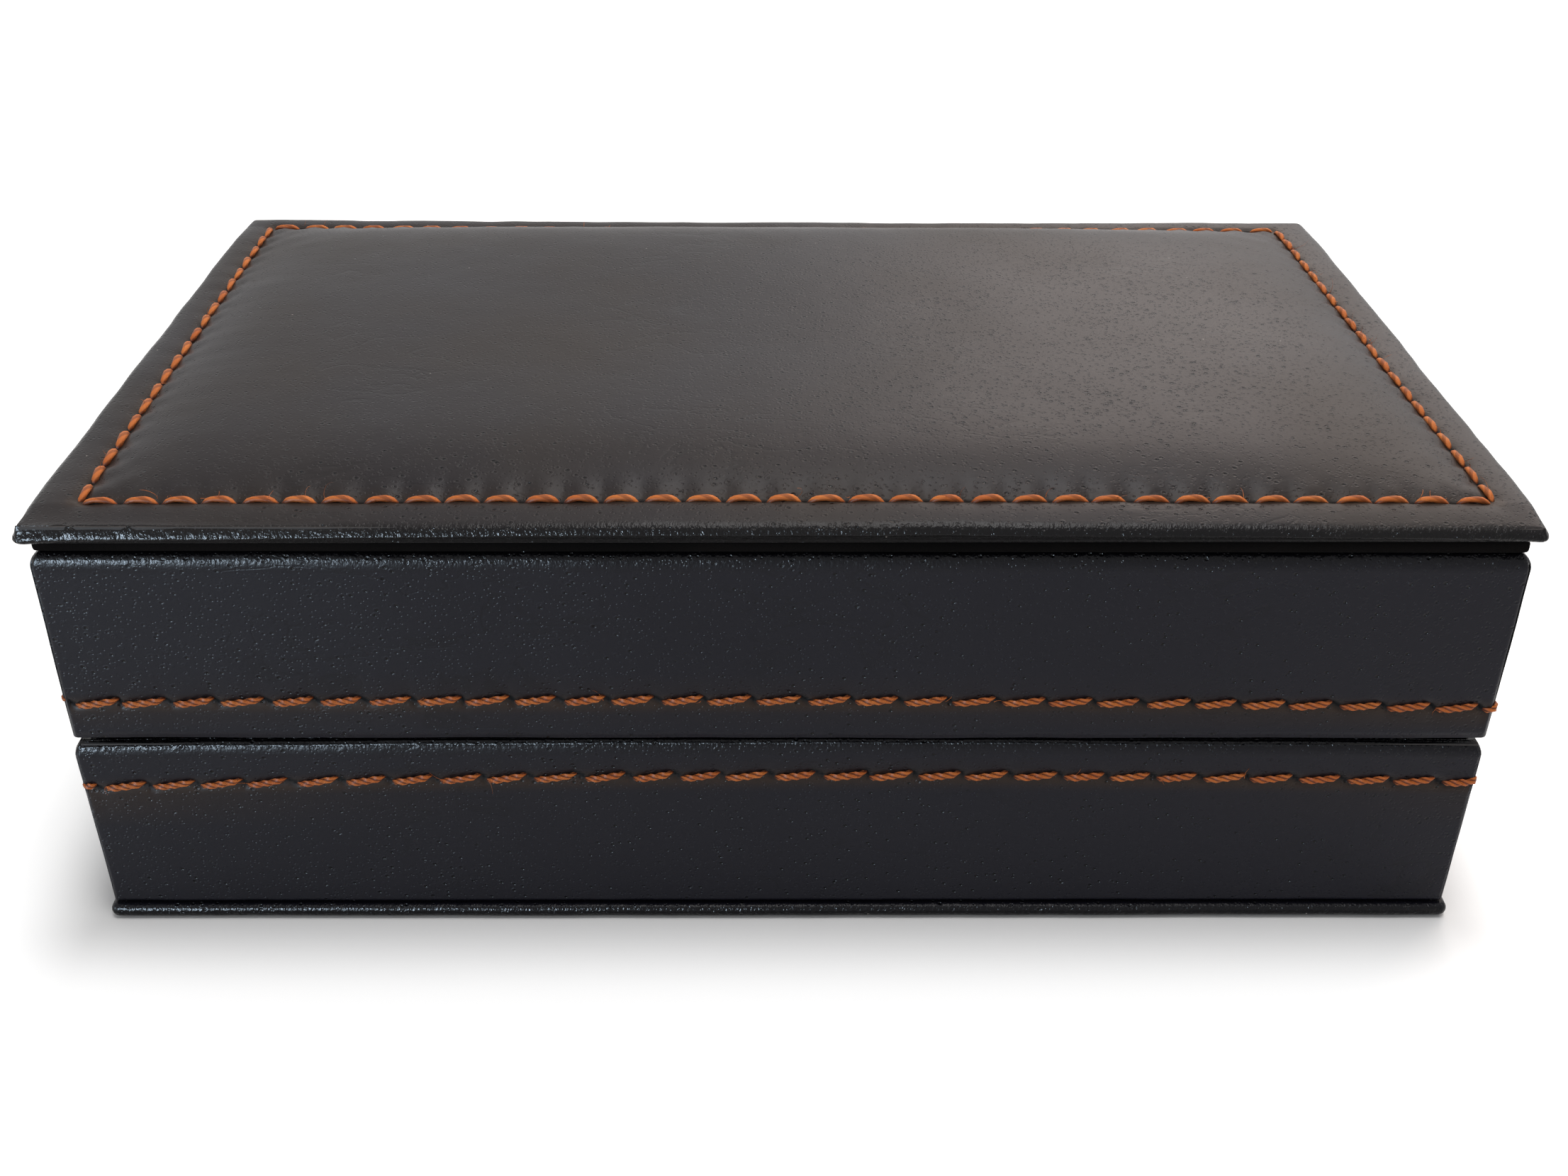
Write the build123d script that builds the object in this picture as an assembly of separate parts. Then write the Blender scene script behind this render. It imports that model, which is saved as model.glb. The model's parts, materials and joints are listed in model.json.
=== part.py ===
from build123d import *
import os
from math import asin, atan2, acos, cos, degrees, floor, hypot, radians, sin, sqrt

# Leather-covered cufflink box: a hinged padded lid over a divided tray, and a drawer below it.
# Millimetres. X runs along the front, -Y is the front, +Z is up.
# The origin is the centre of the base, on the plane that the box stands on.

# ---- Case ----
case_width = 199.0
case_depth = 119.0
case_corner_radius = 1.1
rim_radius = 1.0
board = 4.0
leather = 0.7
skived_leather = 0.4
rim_turn_in = 8.0
shelf_turn_in = 10.0
shelf_thickness = 2.4
shelf_dado = 1.0
tray_wall_height = 29.3
tier_gap = 0.9

# ---- Base ----
base_thickness = 2.4
base_overhang = 0.7
base_corner_radius = 1.3
base_turn_in = 7.0
felt_thickness = 0.6
felt_stand_off = 0.2

# ---- Tray lining and dividers ----
lining = 1.0
lining_below_rim = 1.2
lining_edge_radius = 0.4
floor_pad = 1.5
divider_thickness = 2.0
divider_below_rim = 4.0
divider_edge_radius = 0.8
tray_columns = 6
tray_rows = 4
lap_clearance = 0.1

# ---- Drawer ----
drawer_front_height = 29.5
drawer_front_board = 2.6
drawer_front_below = 0.3
drawer_front_side_clearance = 0.1
drawer_front_back_clearance = 0.3
drawer_front_roll = 1.0
drawer_front_turn_in = 12.0
drawer_wall = 2.4
drawer_bottom_thickness = 2.0
drawer_wall_height = 26.1
drawer_side_clearance = 0.5
drawer_back_clearance = 0.6
drawer_lining = 0.8
drawer_lining_below_top = 0.8
drawer_floor_pad = 1.5
drawer_columns = 3
drawer_divider_below_top = 3.5

# ---- Lid ----
lid_overhang = 0.8
lid_edge_thickness = 2.6
lid_corner_radius = 1.4
lid_gap = 2.5
lid_turn_in = 12.0
crown_height = 3.0
crown_run = 14.0
stitch_inset_front = 6.8
stitch_inset_side = 5.5
stitch_inset_back = 5.5
lid_pad_inset = 1.3
lid_pad_behind_leaf = 1.4
lid_pad_radius = 0.8

# ---- Hinges ----
hinge_spacing = 120.0
hinge_length = 24.0
hinge_inset = 1.2
knuckle_radius = 1.15
knuckle_gap = 0.2
knuckle_clearance = 0.15
leaf_width = 3.6
leaf_thickness = 0.65
pin_radius = 0.6
pin_running_clearance = 0.05
pin_head_radius = 0.9
pin_head_length = 0.4
hinge_screw_spacing = 16.0
hinge_screw_from_axis = 2.2
screw_head_radius = 1.0
screw_shank_radius = 0.5
case_screw_length = 6.0
lid_screw_length = 2.4

# ---- Stitching ----
thread_diameter = 0.85
thread_proud = 0.45
stitch_taper = 0.9
tier_stitch_pitch = 6.8
tier_stitch_length = 5.7
tier_stitch_slant = 8.0
tier_stitch_offset = 6.0
tier_stitch_end = 0.9
lid_stitch_pitch = 5.4
lid_stitch_length = 4.6

# ---- Levels and half sizes worked out from the values above ----
half_width = case_width / 2
half_depth = case_depth / 2
board_corner_radius = case_corner_radius - leather
wall_inner_x = half_width - leather - board
wall_inner_y = half_depth - leather - board
lining_outer_x = wall_inner_x - skived_leather
lining_outer_y = wall_inner_y - skived_leather
tray_half_width = lining_outer_x - lining
tray_half_depth = lining_outer_y - lining

drawer_front_bottom = base_thickness + drawer_front_below
drawer_front_top = drawer_front_bottom + drawer_front_height
tray_bottom = drawer_front_top + tier_gap
board_bottom = tray_bottom + leather
shelf_top = board_bottom + shelf_thickness
tray_floor = shelf_top + floor_pad
rim = tray_bottom + tray_wall_height
board_top = rim - leather
lid_bottom = rim + lid_gap
lid_margin_top = lid_bottom + lid_edge_thickness

lid_half_width = half_width + lid_overhang
lid_half_depth = half_depth + lid_overhang
lid_board_bottom = lid_bottom + skived_leather
lid_board_top = lid_margin_top - leather

hinge_axis_y = half_depth - hinge_inset
hinge_axis_z = rim + lid_gap / 2

side_leather_front = -(wall_inner_y + leather)
drawer_front_back = side_leather_front - drawer_front_back_clearance
drawer_front_face = drawer_front_back - skived_leather - drawer_front_board - leather
drawer_half_width = wall_inner_x - drawer_side_clearance
drawer_rear = wall_inner_y - drawer_back_clearance
drawer_floor = base_thickness + drawer_bottom_thickness
drawer_top = drawer_floor + drawer_wall_height


def block(x0, x1, y0, y1, z0, z1):
    """A box from its low corner to its high corner."""
    low = (Align.MIN, Align.MIN, Align.MIN)
    return Pos(x0, y0, z0) * Box(x1 - x0, y1 - y0, z1 - z0, align=low)


def centred_block(half_x, half_y, z0, z1):
    """A box centred on the Z axis."""
    return block(-half_x, half_x, -half_y, half_y, z0, z1)


def rounded_block(half_x, half_y, z0, z1, corner):
    """A centred box with round upright corners."""
    outline = RectangleRounded(2 * half_x, 2 * half_y, corner)
    return extrude(Pos(0, 0, z0) * outline, z1 - z0)


def edges_at(shape, axis, level):
    """Edges that lie wholly in the plane at one level along an axis."""
    return shape.edges().filter_by_position(axis, level, level)


def soften(shape, edges, radius):
    """Rounds the edges, with the radius held under half of the shape's least size."""
    size = shape.bounding_box().size
    return fillet(edges, min(radius, 0.45 * min(size.X, size.Y, size.Z)))


def save(shape, name):
    """Writes one sub-part under its name."""
    shape.label = name
    export_step(shape, f"parts/{name}.step")


# ---- Case boards ----
def make_shelf():
    """Tray floor, let into a dado in all four walls."""
    return centred_block(wall_inner_x + shelf_dado, wall_inner_y + shelf_dado, board_bottom, shelf_top)


def make_side_board(side, shelf):
    """Upright side wall of both tiers. Side is -1 for the left and 1 for the right."""
    inner, outer = sorted((side * wall_inner_x, side * (half_width - leather)))
    return block(inner, outer, -wall_inner_y, wall_inner_y, base_thickness, board_top) - shelf


def make_cross_board(side, bottom, shelf):
    """Front wall (-1) or back wall (1), with round outer corners."""
    half_x = half_width - leather
    near, far = sorted((side * wall_inner_y, side * (half_depth - leather)))
    wall = block(-half_x, half_x, near, far, bottom, board_top)
    outer_edges = wall.edges().filter_by(Axis.Z).group_by(Axis.Y)[0 if side < 0 else -1]
    return fillet(outer_edges, board_corner_radius) - shelf


# ---- Case leather ----
def make_case_leather(boards):
    """One wrap over the walls, turned in at the rim, the tray's front edge and the drawer opening."""
    wrap = rounded_block(half_width, half_depth, base_thickness, rim, case_corner_radius)
    wrap = fillet(edges_at(wrap, Axis.Z, rim), rim_radius)
    wrap -= block(-half_width, half_width, -half_depth, side_leather_front, base_thickness, tray_bottom)
    wrap -= centred_block(lining_outer_x, lining_outer_y, shelf_top, rim)
    wrap -= centred_block(wall_inner_x, wall_inner_y, shelf_top, rim - rim_turn_in)
    wrap -= centred_block(wall_inner_x, wall_inner_y, base_thickness, tray_bottom)
    turned_edge = -wall_inner_y + shelf_turn_in
    wrap -= block(-wall_inner_x, wall_inner_x, turned_edge, wall_inner_y, base_thickness, board_bottom)
    wrap -= block(-wall_inner_x, wall_inner_x, side_leather_front, 0, base_thickness, tray_bottom)
    for piece in boards:
        wrap -= piece
    return wrap


# ---- Base ----
def make_base():
    """Base board, its leather edge, the felt that the box stands on and the drawer bay's floor lining."""
    half_x = half_width + base_overhang
    half_y = half_depth + base_overhang
    core_bottom = felt_stand_off + skived_leather
    core_top = base_thickness - skived_leather
    core_corner = base_corner_radius - leather
    core = rounded_block(half_x - leather, half_y - leather, core_bottom, core_top, core_corner)
    wrap = rounded_block(half_x, half_y, felt_stand_off, base_thickness, base_corner_radius)
    roll = 0.48 * (base_thickness - felt_stand_off)
    wrap = fillet(edges_at(wrap, Axis.Z, felt_stand_off) + edges_at(wrap, Axis.Z, base_thickness), roll)
    window_x = half_x - leather - base_turn_in
    window_y = half_y - leather - base_turn_in
    wrap = wrap - core - centred_block(window_x, window_y, 0, base_thickness)
    felt = centred_block(window_x, window_y, core_bottom - felt_thickness, core_bottom)
    bay_floor = centred_block(window_x, window_y, core_top, base_thickness)
    return core, wrap, felt, bay_floor


# ---- Tray lining and dividers ----
def make_tray_lining(side_name):
    """A fabric-covered card strip against one wall of the tray."""
    top = rim - lining_below_rim
    strips = {
        "front": (-lining_outer_x, lining_outer_x, -lining_outer_y, -tray_half_depth),
        "back": (-lining_outer_x, lining_outer_x, tray_half_depth, lining_outer_y),
        "left": (-lining_outer_x, -tray_half_width, -tray_half_depth, tray_half_depth),
        "right": (tray_half_width, lining_outer_x, -tray_half_depth, tray_half_depth),
    }
    strip = block(*strips[side_name], shelf_top, top)
    return soften(strip, edges_at(strip, Axis.Z, top).sort_by(Edge.length)[-2:], lining_edge_radius)


def cell_edges(half_span, count, thickness):
    """Centres of the dividers that cut a span into equal cells."""
    cell = (2 * half_span - (count - 1) * thickness) / count
    return [-half_span + (cell + thickness) * n - thickness / 2 for n in range(1, count)]


def make_divider(along_x, centre, half_length, bottom, top, crossings):
    """A fabric-covered divider with half-lap slots: top slots on long ones, bottom slots on cross ones."""
    half_thick = divider_thickness / 2
    slot = half_thick + lap_clearance
    middle = (bottom + top) / 2
    slot_levels = (middle, top + 1) if along_x else (bottom - 1, middle)
    if along_x:
        sheet = block(-half_length, half_length, centre - half_thick, centre + half_thick, bottom, top)
    else:
        sheet = block(centre - half_thick, centre + half_thick, -half_length, half_length, bottom, top)
    long_edges = edges_at(sheet, Axis.Z, top).sort_by(Edge.length)[-2:]
    sheet = soften(sheet, long_edges, divider_edge_radius)
    for place in crossings:
        along_sheet = (place - slot, place + slot)
        through_sheet = (centre - divider_thickness, centre + divider_thickness)
        spans = along_sheet + through_sheet if along_x else through_sheet + along_sheet
        sheet -= block(*spans, *slot_levels)
    return sheet


# ---- Drawer ----
def make_drawer_front():
    """Full-width drawer front: a board wrapped in leather that is turned in on its back."""
    half_x = half_width - drawer_front_side_clearance
    mid_y = (drawer_front_face + drawer_front_back) / 2
    half_y = (drawer_front_back - drawer_front_face) / 2
    wrap = Pos(0, mid_y, 0) * centred_block(half_x, half_y, drawer_front_bottom, drawer_front_top)
    face_edges = wrap.edges().group_by(Axis.Y)[0]
    wrap = fillet(face_edges, drawer_front_roll)
    core = block(
        -half_x + leather,
        half_x - leather,
        drawer_front_face + leather,
        drawer_front_back - skived_leather,
        drawer_front_bottom + leather,
        drawer_front_top - leather,
    )
    window = block(
        -half_x + drawer_front_turn_in,
        half_x - drawer_front_turn_in,
        drawer_front_back - skived_leather,
        drawer_front_back,
        drawer_front_bottom + leather + drawer_front_turn_in / 2,
        drawer_front_top - leather - drawer_front_turn_in / 2,
    )
    return core, wrap - core - window


def make_drawer_box():
    """Drawer bottom with four walls that stand on it."""
    x, rear, front = drawer_half_width, drawer_rear, drawer_front_back
    between = (front + drawer_wall, rear - drawer_wall)
    walls = {
        "drawer_bottom": block(-x, x, front, rear, base_thickness, drawer_floor),
        "drawer_inner_front": block(-x, x, front, front + drawer_wall, drawer_floor, drawer_top),
        "drawer_back": block(-x, x, rear - drawer_wall, rear, drawer_floor, drawer_top),
        "drawer_side_left": block(-x, -x + drawer_wall, *between, drawer_floor, drawer_top),
        "drawer_side_right": block(x - drawer_wall, x, *between, drawer_floor, drawer_top),
    }
    return walls


def make_drawer_interior():
    """Fabric-covered strips, floor pad and dividers inside the drawer."""
    outer_x = drawer_half_width - drawer_wall
    outer_front = drawer_front_back + drawer_wall
    outer_rear = drawer_rear - drawer_wall
    x, front, rear = outer_x - drawer_lining, outer_front + drawer_lining, outer_rear - drawer_lining
    top = drawer_top - drawer_lining_below_top
    pad_top = drawer_floor + drawer_floor_pad
    pieces = {
        "drawer_lining_front": block(-outer_x, outer_x, outer_front, front, drawer_floor, top),
        "drawer_lining_back": block(-outer_x, outer_x, rear, outer_rear, drawer_floor, top),
        "drawer_lining_left": block(-outer_x, -x, front, rear, drawer_floor, top),
        "drawer_lining_right": block(x, outer_x, front, rear, drawer_floor, top),
        "drawer_floor_pad": block(-x, x, front, rear, drawer_floor, pad_top),
    }
    half_length = (rear - front) / 2
    middle = (rear + front) / 2
    names = ("left", "right") if drawer_columns == 3 else [str(n) for n in range(1, drawer_columns)]
    for name, centre in zip(names, cell_edges(x, drawer_columns, divider_thickness)):
        sheet = make_divider(False, centre, half_length, pad_top, drawer_top - drawer_divider_below_top, [])
        pieces[f"drawer_divider_{name}"] = Pos(0, middle, 0) * sheet
    return pieces


# ---- Lid ----
def crown_profile(half_span, low_inset, high_inset, skin):
    """Cross-section of the padded top: flat margins outside the stitching and a crown between it.

    Skin is how far the section lies under the outer leather surface."""
    run, height = crown_run, crown_height
    radius = (run**2 + height**2) / (2 * height)
    inner_radius = radius - skin
    margin = lid_margin_top - skin
    plateau = margin + height
    drop = sqrt(inner_radius**2 - (inner_radius - height) ** 2)
    low_flat = -half_span + low_inset + run
    high_flat = half_span - high_inset - run
    half_rise = asin(drop / inner_radius) / 2
    shoulder = inner_radius * sin(half_rise)
    sag = inner_radius * (1 - cos(half_rise))
    low = (low_flat - drop, margin)
    high = (high_flat + drop, margin)
    top = [
        ThreePointArc(low, (low_flat - shoulder, plateau - sag), (low_flat, plateau)),
        Line((low_flat, plateau), (high_flat, plateau)),
        ThreePointArc((high_flat, plateau), (high_flat + shoulder, plateau - sag), high),
    ]
    return low, high, top


def lid_section(half_span, low_inset, high_inset):
    """Outer section of the leather-covered lid, with round edges."""
    roll = lid_edge_thickness / 2
    low, high, top = crown_profile(half_span, low_inset, high_inset, 0)
    centre = half_span - roll
    middle = lid_bottom + roll
    lines = Curve() + [
        Line((-centre, lid_margin_top), low),
        *top,
        Line(high, (centre, lid_margin_top)),
        ThreePointArc((centre, lid_margin_top), (half_span, middle), (centre, lid_bottom)),
        Line((centre, lid_bottom), (-centre, lid_bottom)),
        ThreePointArc((-centre, lid_bottom), (-half_span, middle), (-centre, lid_margin_top)),
    ]
    return make_face(lines)


def foam_section(half_span, low_inset, high_inset):
    """Section of the foam under the leather, flat on the lid board."""
    low, high, top = crown_profile(half_span, low_inset, high_inset, leather)
    return make_face(Curve() + [*top, Line(high, low)])


def crossed(section_x, section_y, reach):
    """The solid common to one section run front to back and another run side to side."""
    along_y = extrude(Plane.XZ * section_x, reach, both=True)
    along_x = extrude(Plane.YZ * section_y, reach, both=True)
    return along_y & along_x


def make_lid():
    """Lid board, foam and leather."""
    x, y = lid_half_width, lid_half_depth
    core_corner = lid_corner_radius - leather
    core = rounded_block(x - leather, y - leather, lid_board_bottom, lid_board_top, core_corner)
    side = (stitch_inset_side, stitch_inset_side)
    along = (stitch_inset_front, stitch_inset_back)
    reach = 2 * x
    foam = crossed(foam_section(x, *side), foam_section(y, *along), reach)
    outer = crossed(lid_section(x, *side), lid_section(y, *along), reach)
    plan = rounded_block(x, y, lid_bottom, lid_margin_top + crown_height, lid_corner_radius)
    window = centred_block(x - lid_turn_in, y - lid_turn_in, lid_bottom, lid_board_bottom)
    wrap = (outer & plan) - core - foam - window
    return core, foam, wrap


def make_lid_pad():
    """Fabric-covered pad under the lid. It rests on the rim and leaves the hinge leaves clear."""
    x = half_width - lid_pad_inset
    rear = hinge_axis_y - leaf_width - lid_pad_behind_leaf
    pad = block(-x, x, -half_depth + lid_pad_inset, rear, rim, lid_bottom)
    return soften(pad, edges_at(pad, Axis.Z, rim), lid_pad_radius)


# ---- Hinges ----
def bar(x0, x1, radius):
    """A round bar along the hinge axis."""
    centre = (x0 + x1) / 2
    return Pos(centre, hinge_axis_y, hinge_axis_z) * Rot(0, 90, 0) * Cylinder(radius, x1 - x0)


def screw(x, head_level, length, up):
    """Countersunk screw with its head flush at head_level. Up is 1 where the point is above the head."""
    cone = screw_head_radius - screw_shank_radius
    profile = Polyline(
        (0, 0),
        (screw_head_radius, 0),
        (screw_shank_radius, cone),
        (screw_shank_radius, length - screw_shank_radius),
        (0, length),
        close=True,
    )
    body = revolve(make_face(Plane.XZ * profile), Axis.Z)
    if up < 0:
        body = Rot(180, 0, 0) * body
    return Pos(x, hinge_axis_y - hinge_screw_from_axis, head_level) * body


def knuckle_spans(centre):
    """X spans of a hinge's three knuckles, from left to right."""
    pitch = hinge_length / 3
    half_gap = knuckle_gap / 2
    start = centre - hinge_length / 2
    ends = [(start + n * pitch, start + (n + 1) * pitch) for n in range(3)]
    return [
        (ends[0][0], ends[0][1] - half_gap),
        (ends[1][0] + half_gap, ends[1][1] - half_gap),
        (ends[2][0] + half_gap, ends[2][1]),
    ]


def make_leaf(centre, on_case):
    """A hinge leaf. The case's leaf has the outer knuckles, and the lid's has the middle one."""
    spans = knuckle_spans(centre)
    own = [spans[0], spans[2]] if on_case else [spans[1]]
    other = [spans[1]] if on_case else [spans[0], spans[2]]
    low = rim if on_case else lid_bottom - leaf_thickness
    x0, x1 = centre - hinge_length / 2, centre + hinge_length / 2
    leaf = block(x0, x1, hinge_axis_y - leaf_width, hinge_axis_y, low, low + leaf_thickness)
    for span in other:
        leaf -= bar(span[0] - knuckle_gap, span[1] + knuckle_gap, knuckle_radius + knuckle_clearance)
    for span in own:
        leaf += bar(*span, knuckle_radius)
    hole = pin_radius if on_case else pin_radius + pin_running_clearance
    leaf -= bar(x0 - 1, x1 + 1, hole)
    return leaf


def make_pin(centre):
    """Hinge pin, held in the case's knuckles, with a low head at each end."""
    x0, x1 = centre - hinge_length / 2, centre + hinge_length / 2
    heads = bar(x0 - pin_head_length, x0, pin_head_radius) + bar(x1, x1 + pin_head_length, pin_head_radius)
    return bar(x0, x1, pin_radius) + heads


def screw_places():
    """X places of all the hinge screws on one leaf row."""
    return [
        hinge + side * hinge_screw_spacing / 2
        for hinge in (-hinge_spacing / 2, hinge_spacing / 2)
        for side in (-1, 1)
    ]


def lid_stop_angle():
    """Angle at which the lid's rolled back edge lands on the rim's rolled back edge."""
    roll = lid_edge_thickness / 2
    lid_y = lid_half_depth - roll - hinge_axis_y
    lid_z = lid_bottom + roll - hinge_axis_z
    rim_y = half_depth - rim_radius - hinge_axis_y
    rim_z = rim - rim_radius - hinge_axis_z
    lid_arm, rim_arm = hypot(lid_y, lid_z), hypot(rim_y, rim_z)
    touch = roll + rim_radius
    between = acos((lid_arm**2 + rim_arm**2 - touch**2) / (2 * lid_arm * rim_arm))
    return degrees(atan2(lid_z, lid_y) - atan2(rim_z, rim_y) - between)


# ---- Stitching ----
def stitch(length, slant):
    """One thread stitch on the XY plane, standing proud along Z, with tapered ends."""
    half = length / 2
    flat = half - stitch_taper
    arch = Polyline((-half, 0), (-flat, thread_proud), (flat, thread_proud), (half, 0), close=True)
    body = extrude(make_face(Plane.XZ * arch), thread_diameter / 2, both=True)
    return Rot(0, 0, slant) * body


def stitch_run(plane, half_length, pitch, length, slant):
    """A straight run of stitches along the plane's X axis, centred on its origin."""
    count = max(1, floor((2 * half_length - length) / pitch) + 1)
    first = -(count - 1) * pitch / 2
    one = stitch(length, slant)
    return [plane * Pos(first + n * pitch, 0, 0) * one for n in range(count)]


def wall_plane(name, level):
    """Plane on an outer wall of the case, with X to the right and Y up as that wall is looked at."""
    normals = {"front": (0, -1, 0), "back": (0, 1, 0), "left": (-1, 0, 0), "right": (1, 0, 0)}
    rights = {"front": (1, 0, 0), "back": (-1, 0, 0), "left": (0, -1, 0), "right": (0, 1, 0)}
    normal = Vector(*normals[name])
    origin = Vector(normal.X * half_width, normal.Y * half_depth, level)
    return Plane(origin=origin, x_dir=rights[name], z_dir=normal)


def tier_run(name, level, half_length):
    """One wall's run of tier stitches."""
    sizes = (tier_stitch_pitch, tier_stitch_length, tier_stitch_slant)
    return stitch_run(wall_plane(name, level), half_length, *sizes)


def make_tray_stitching():
    """The row above the tray's lower edge, on all four walls."""
    level = tray_bottom + tier_stitch_offset
    along = half_width - tier_stitch_end
    across = half_depth - tier_stitch_end
    runs = tier_run("front", level, along) + tier_run("back", level, along)
    runs += tier_run("left", level, across) + tier_run("right", level, across)
    return runs


def make_lower_stitching():
    """The row under the drawer front's top edge, and the one level with it round the case."""
    level = drawer_front_top - tier_stitch_offset
    along = half_width - tier_stitch_end
    front = stitch_run(
        wall_plane("front", level).offset(-drawer_front_face - half_depth),
        along,
        tier_stitch_pitch,
        tier_stitch_length,
        tier_stitch_slant,
    )
    wall_back = half_depth - tier_stitch_end
    wall_front = side_leather_front
    across = (wall_back - wall_front) / 2
    middle = (wall_back + wall_front) / 2
    sides = tier_run("left", level, across) + tier_run("right", level, across)
    sides = [Pos(0, middle, 0) * one for one in sides]
    return front, sides + tier_run("back", level, along)


def make_lid_stitching():
    """The line of stitches round the lid's padded field, on the flat margin just outside the crown."""
    outward = thread_diameter / 2
    side = lid_half_width - stitch_inset_side + outward
    front = -lid_half_depth + stitch_inset_front - outward
    back = lid_half_depth - stitch_inset_back + outward
    middle = (back + front) / 2
    along = side - thread_diameter
    across = (back - front) / 2 - thread_diameter
    lines = [
        ((0, front), (1, 0, 0), along),
        ((0, back), (-1, 0, 0), along),
        ((-side, middle), (0, -1, 0), across),
        ((side, middle), (0, 1, 0), across),
    ]
    runs = []
    for (x, y), direction, half_length in lines:
        plane = Plane(origin=(x, y, lid_margin_top), x_dir=direction, z_dir=(0, 0, 1))
        runs += stitch_run(plane, half_length, lid_stitch_pitch, lid_stitch_length, 0)
    return runs


# ---- Assembly ----
def main():
    os.makedirs("parts", exist_ok=True)
    shelf = make_shelf()
    case_screws = [screw(x, rim + leaf_thickness, case_screw_length, -1) for x in screw_places()]
    lid_screws = [screw(x, lid_bottom - leaf_thickness, lid_screw_length, 1) for x in screw_places()]

    boards = {
        "tray_shelf": shelf,
        "side_board_left": make_side_board(-1, shelf),
        "side_board_right": make_side_board(1, shelf),
        "front_board": make_cross_board(-1, board_bottom, shelf),
        "back_board": make_cross_board(1, base_thickness, shelf),
    }
    wrap = make_case_leather(list(boards.values()))
    for one in case_screws:
        boards["back_board"] -= one
        wrap -= one
    for name, piece in boards.items():
        save(piece, name)
    save(wrap, "case_leather")

    for name, piece in zip(("base_board", "base_leather", "base_felt", "bay_floor_lining"), make_base()):
        save(piece, name)

    for side_name in ("front", "back", "left", "right"):
        save(make_tray_lining(side_name), f"tray_lining_{side_name}")
    save(centred_block(tray_half_width, tray_half_depth, shelf_top, tray_floor), "tray_floor_pad")
    columns = cell_edges(tray_half_width, tray_columns, divider_thickness)
    rows = cell_edges(tray_half_depth, tray_rows, divider_thickness)
    divider_top = rim - divider_below_rim
    for number, y in enumerate(rows, 1):
        sheet = make_divider(True, y, tray_half_width, tray_floor, divider_top, columns)
        save(sheet, f"tray_divider_long_{number}")
    for number, x in enumerate(columns, 1):
        sheet = make_divider(False, x, tray_half_depth, tray_floor, divider_top, rows)
        save(sheet, f"tray_divider_cross_{number}")

    core, front_wrap = make_drawer_front()
    save(core, "drawer_front_board")
    save(front_wrap, "drawer_front_leather")
    for name, piece in {**make_drawer_box(), **make_drawer_interior()}.items():
        save(piece, name)

    lid_core, foam, lid_wrap = make_lid()
    for one in lid_screws:
        lid_core -= one
        lid_wrap -= one
    save(lid_core, "lid_board")
    save(foam, "lid_foam")
    save(lid_wrap, "lid_leather")
    save(make_lid_pad(), "lid_lining_pad")

    for side_name, centre in (("left", -hinge_spacing / 2), ("right", hinge_spacing / 2)):
        case_leaf, lid_leaf = make_leaf(centre, True), make_leaf(centre, False)
        for one in case_screws:
            case_leaf -= one
        for one in lid_screws:
            lid_leaf -= one
        save(case_leaf, f"hinge_{side_name}_case_leaf")
        save(lid_leaf, f"hinge_{side_name}_lid_leaf")
        save(make_pin(centre), f"hinge_{side_name}_pin")
    save(Compound(children=case_screws), "hinge_case_screws")
    save(Compound(children=lid_screws), "hinge_lid_screws")

    front_row, case_row = make_lower_stitching()
    save(Compound(children=make_tray_stitching()), "tray_stitching")
    save(Compound(children=front_row), "drawer_stitching")
    save(Compound(children=case_row), "housing_stitching")
    save(Compound(children=make_lid_stitching()), "lid_stitching")
    print(f"lid stops at {lid_stop_angle():.1f} degrees; axis y {hinge_axis_y:.2f}, z {hinge_axis_z:.2f}")
    print(f"rim {rim:.2f}, lid bottom {lid_bottom:.2f}, top {lid_margin_top + crown_height:.2f}")


main()
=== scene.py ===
import json
import math
import random

import bmesh
import bpy
import numpy as np
from bpy.props import FloatProperty, FloatVectorProperty, IntProperty, PointerProperty
from mathutils import Matrix, Vector, noise


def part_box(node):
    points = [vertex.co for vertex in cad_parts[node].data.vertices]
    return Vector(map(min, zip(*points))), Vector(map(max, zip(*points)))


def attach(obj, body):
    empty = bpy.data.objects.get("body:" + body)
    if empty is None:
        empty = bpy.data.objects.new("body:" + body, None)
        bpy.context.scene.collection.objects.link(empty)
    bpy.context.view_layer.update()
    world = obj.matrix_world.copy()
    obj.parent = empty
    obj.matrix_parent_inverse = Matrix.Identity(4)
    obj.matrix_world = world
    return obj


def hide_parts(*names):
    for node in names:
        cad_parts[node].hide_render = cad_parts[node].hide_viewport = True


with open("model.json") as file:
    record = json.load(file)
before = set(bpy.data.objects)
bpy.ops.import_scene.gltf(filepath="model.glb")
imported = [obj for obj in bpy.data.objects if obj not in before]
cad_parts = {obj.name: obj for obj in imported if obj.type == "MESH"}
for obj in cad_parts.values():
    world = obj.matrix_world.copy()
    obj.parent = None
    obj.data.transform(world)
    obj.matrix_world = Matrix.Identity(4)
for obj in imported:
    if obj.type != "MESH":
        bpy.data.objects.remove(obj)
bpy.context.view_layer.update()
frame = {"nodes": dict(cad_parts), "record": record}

bl_info = {
    "name": "Leather cufflink box",
    "version": (1, 0, 0),
    "blender": (4, 5, 0),
    "location": "View3D > Sidebar > Cufflink Box",
    "description": "Leather, stitching, padding, linings and hardware of a cufflink box with a drawer",
    "category": "Object",
}

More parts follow.
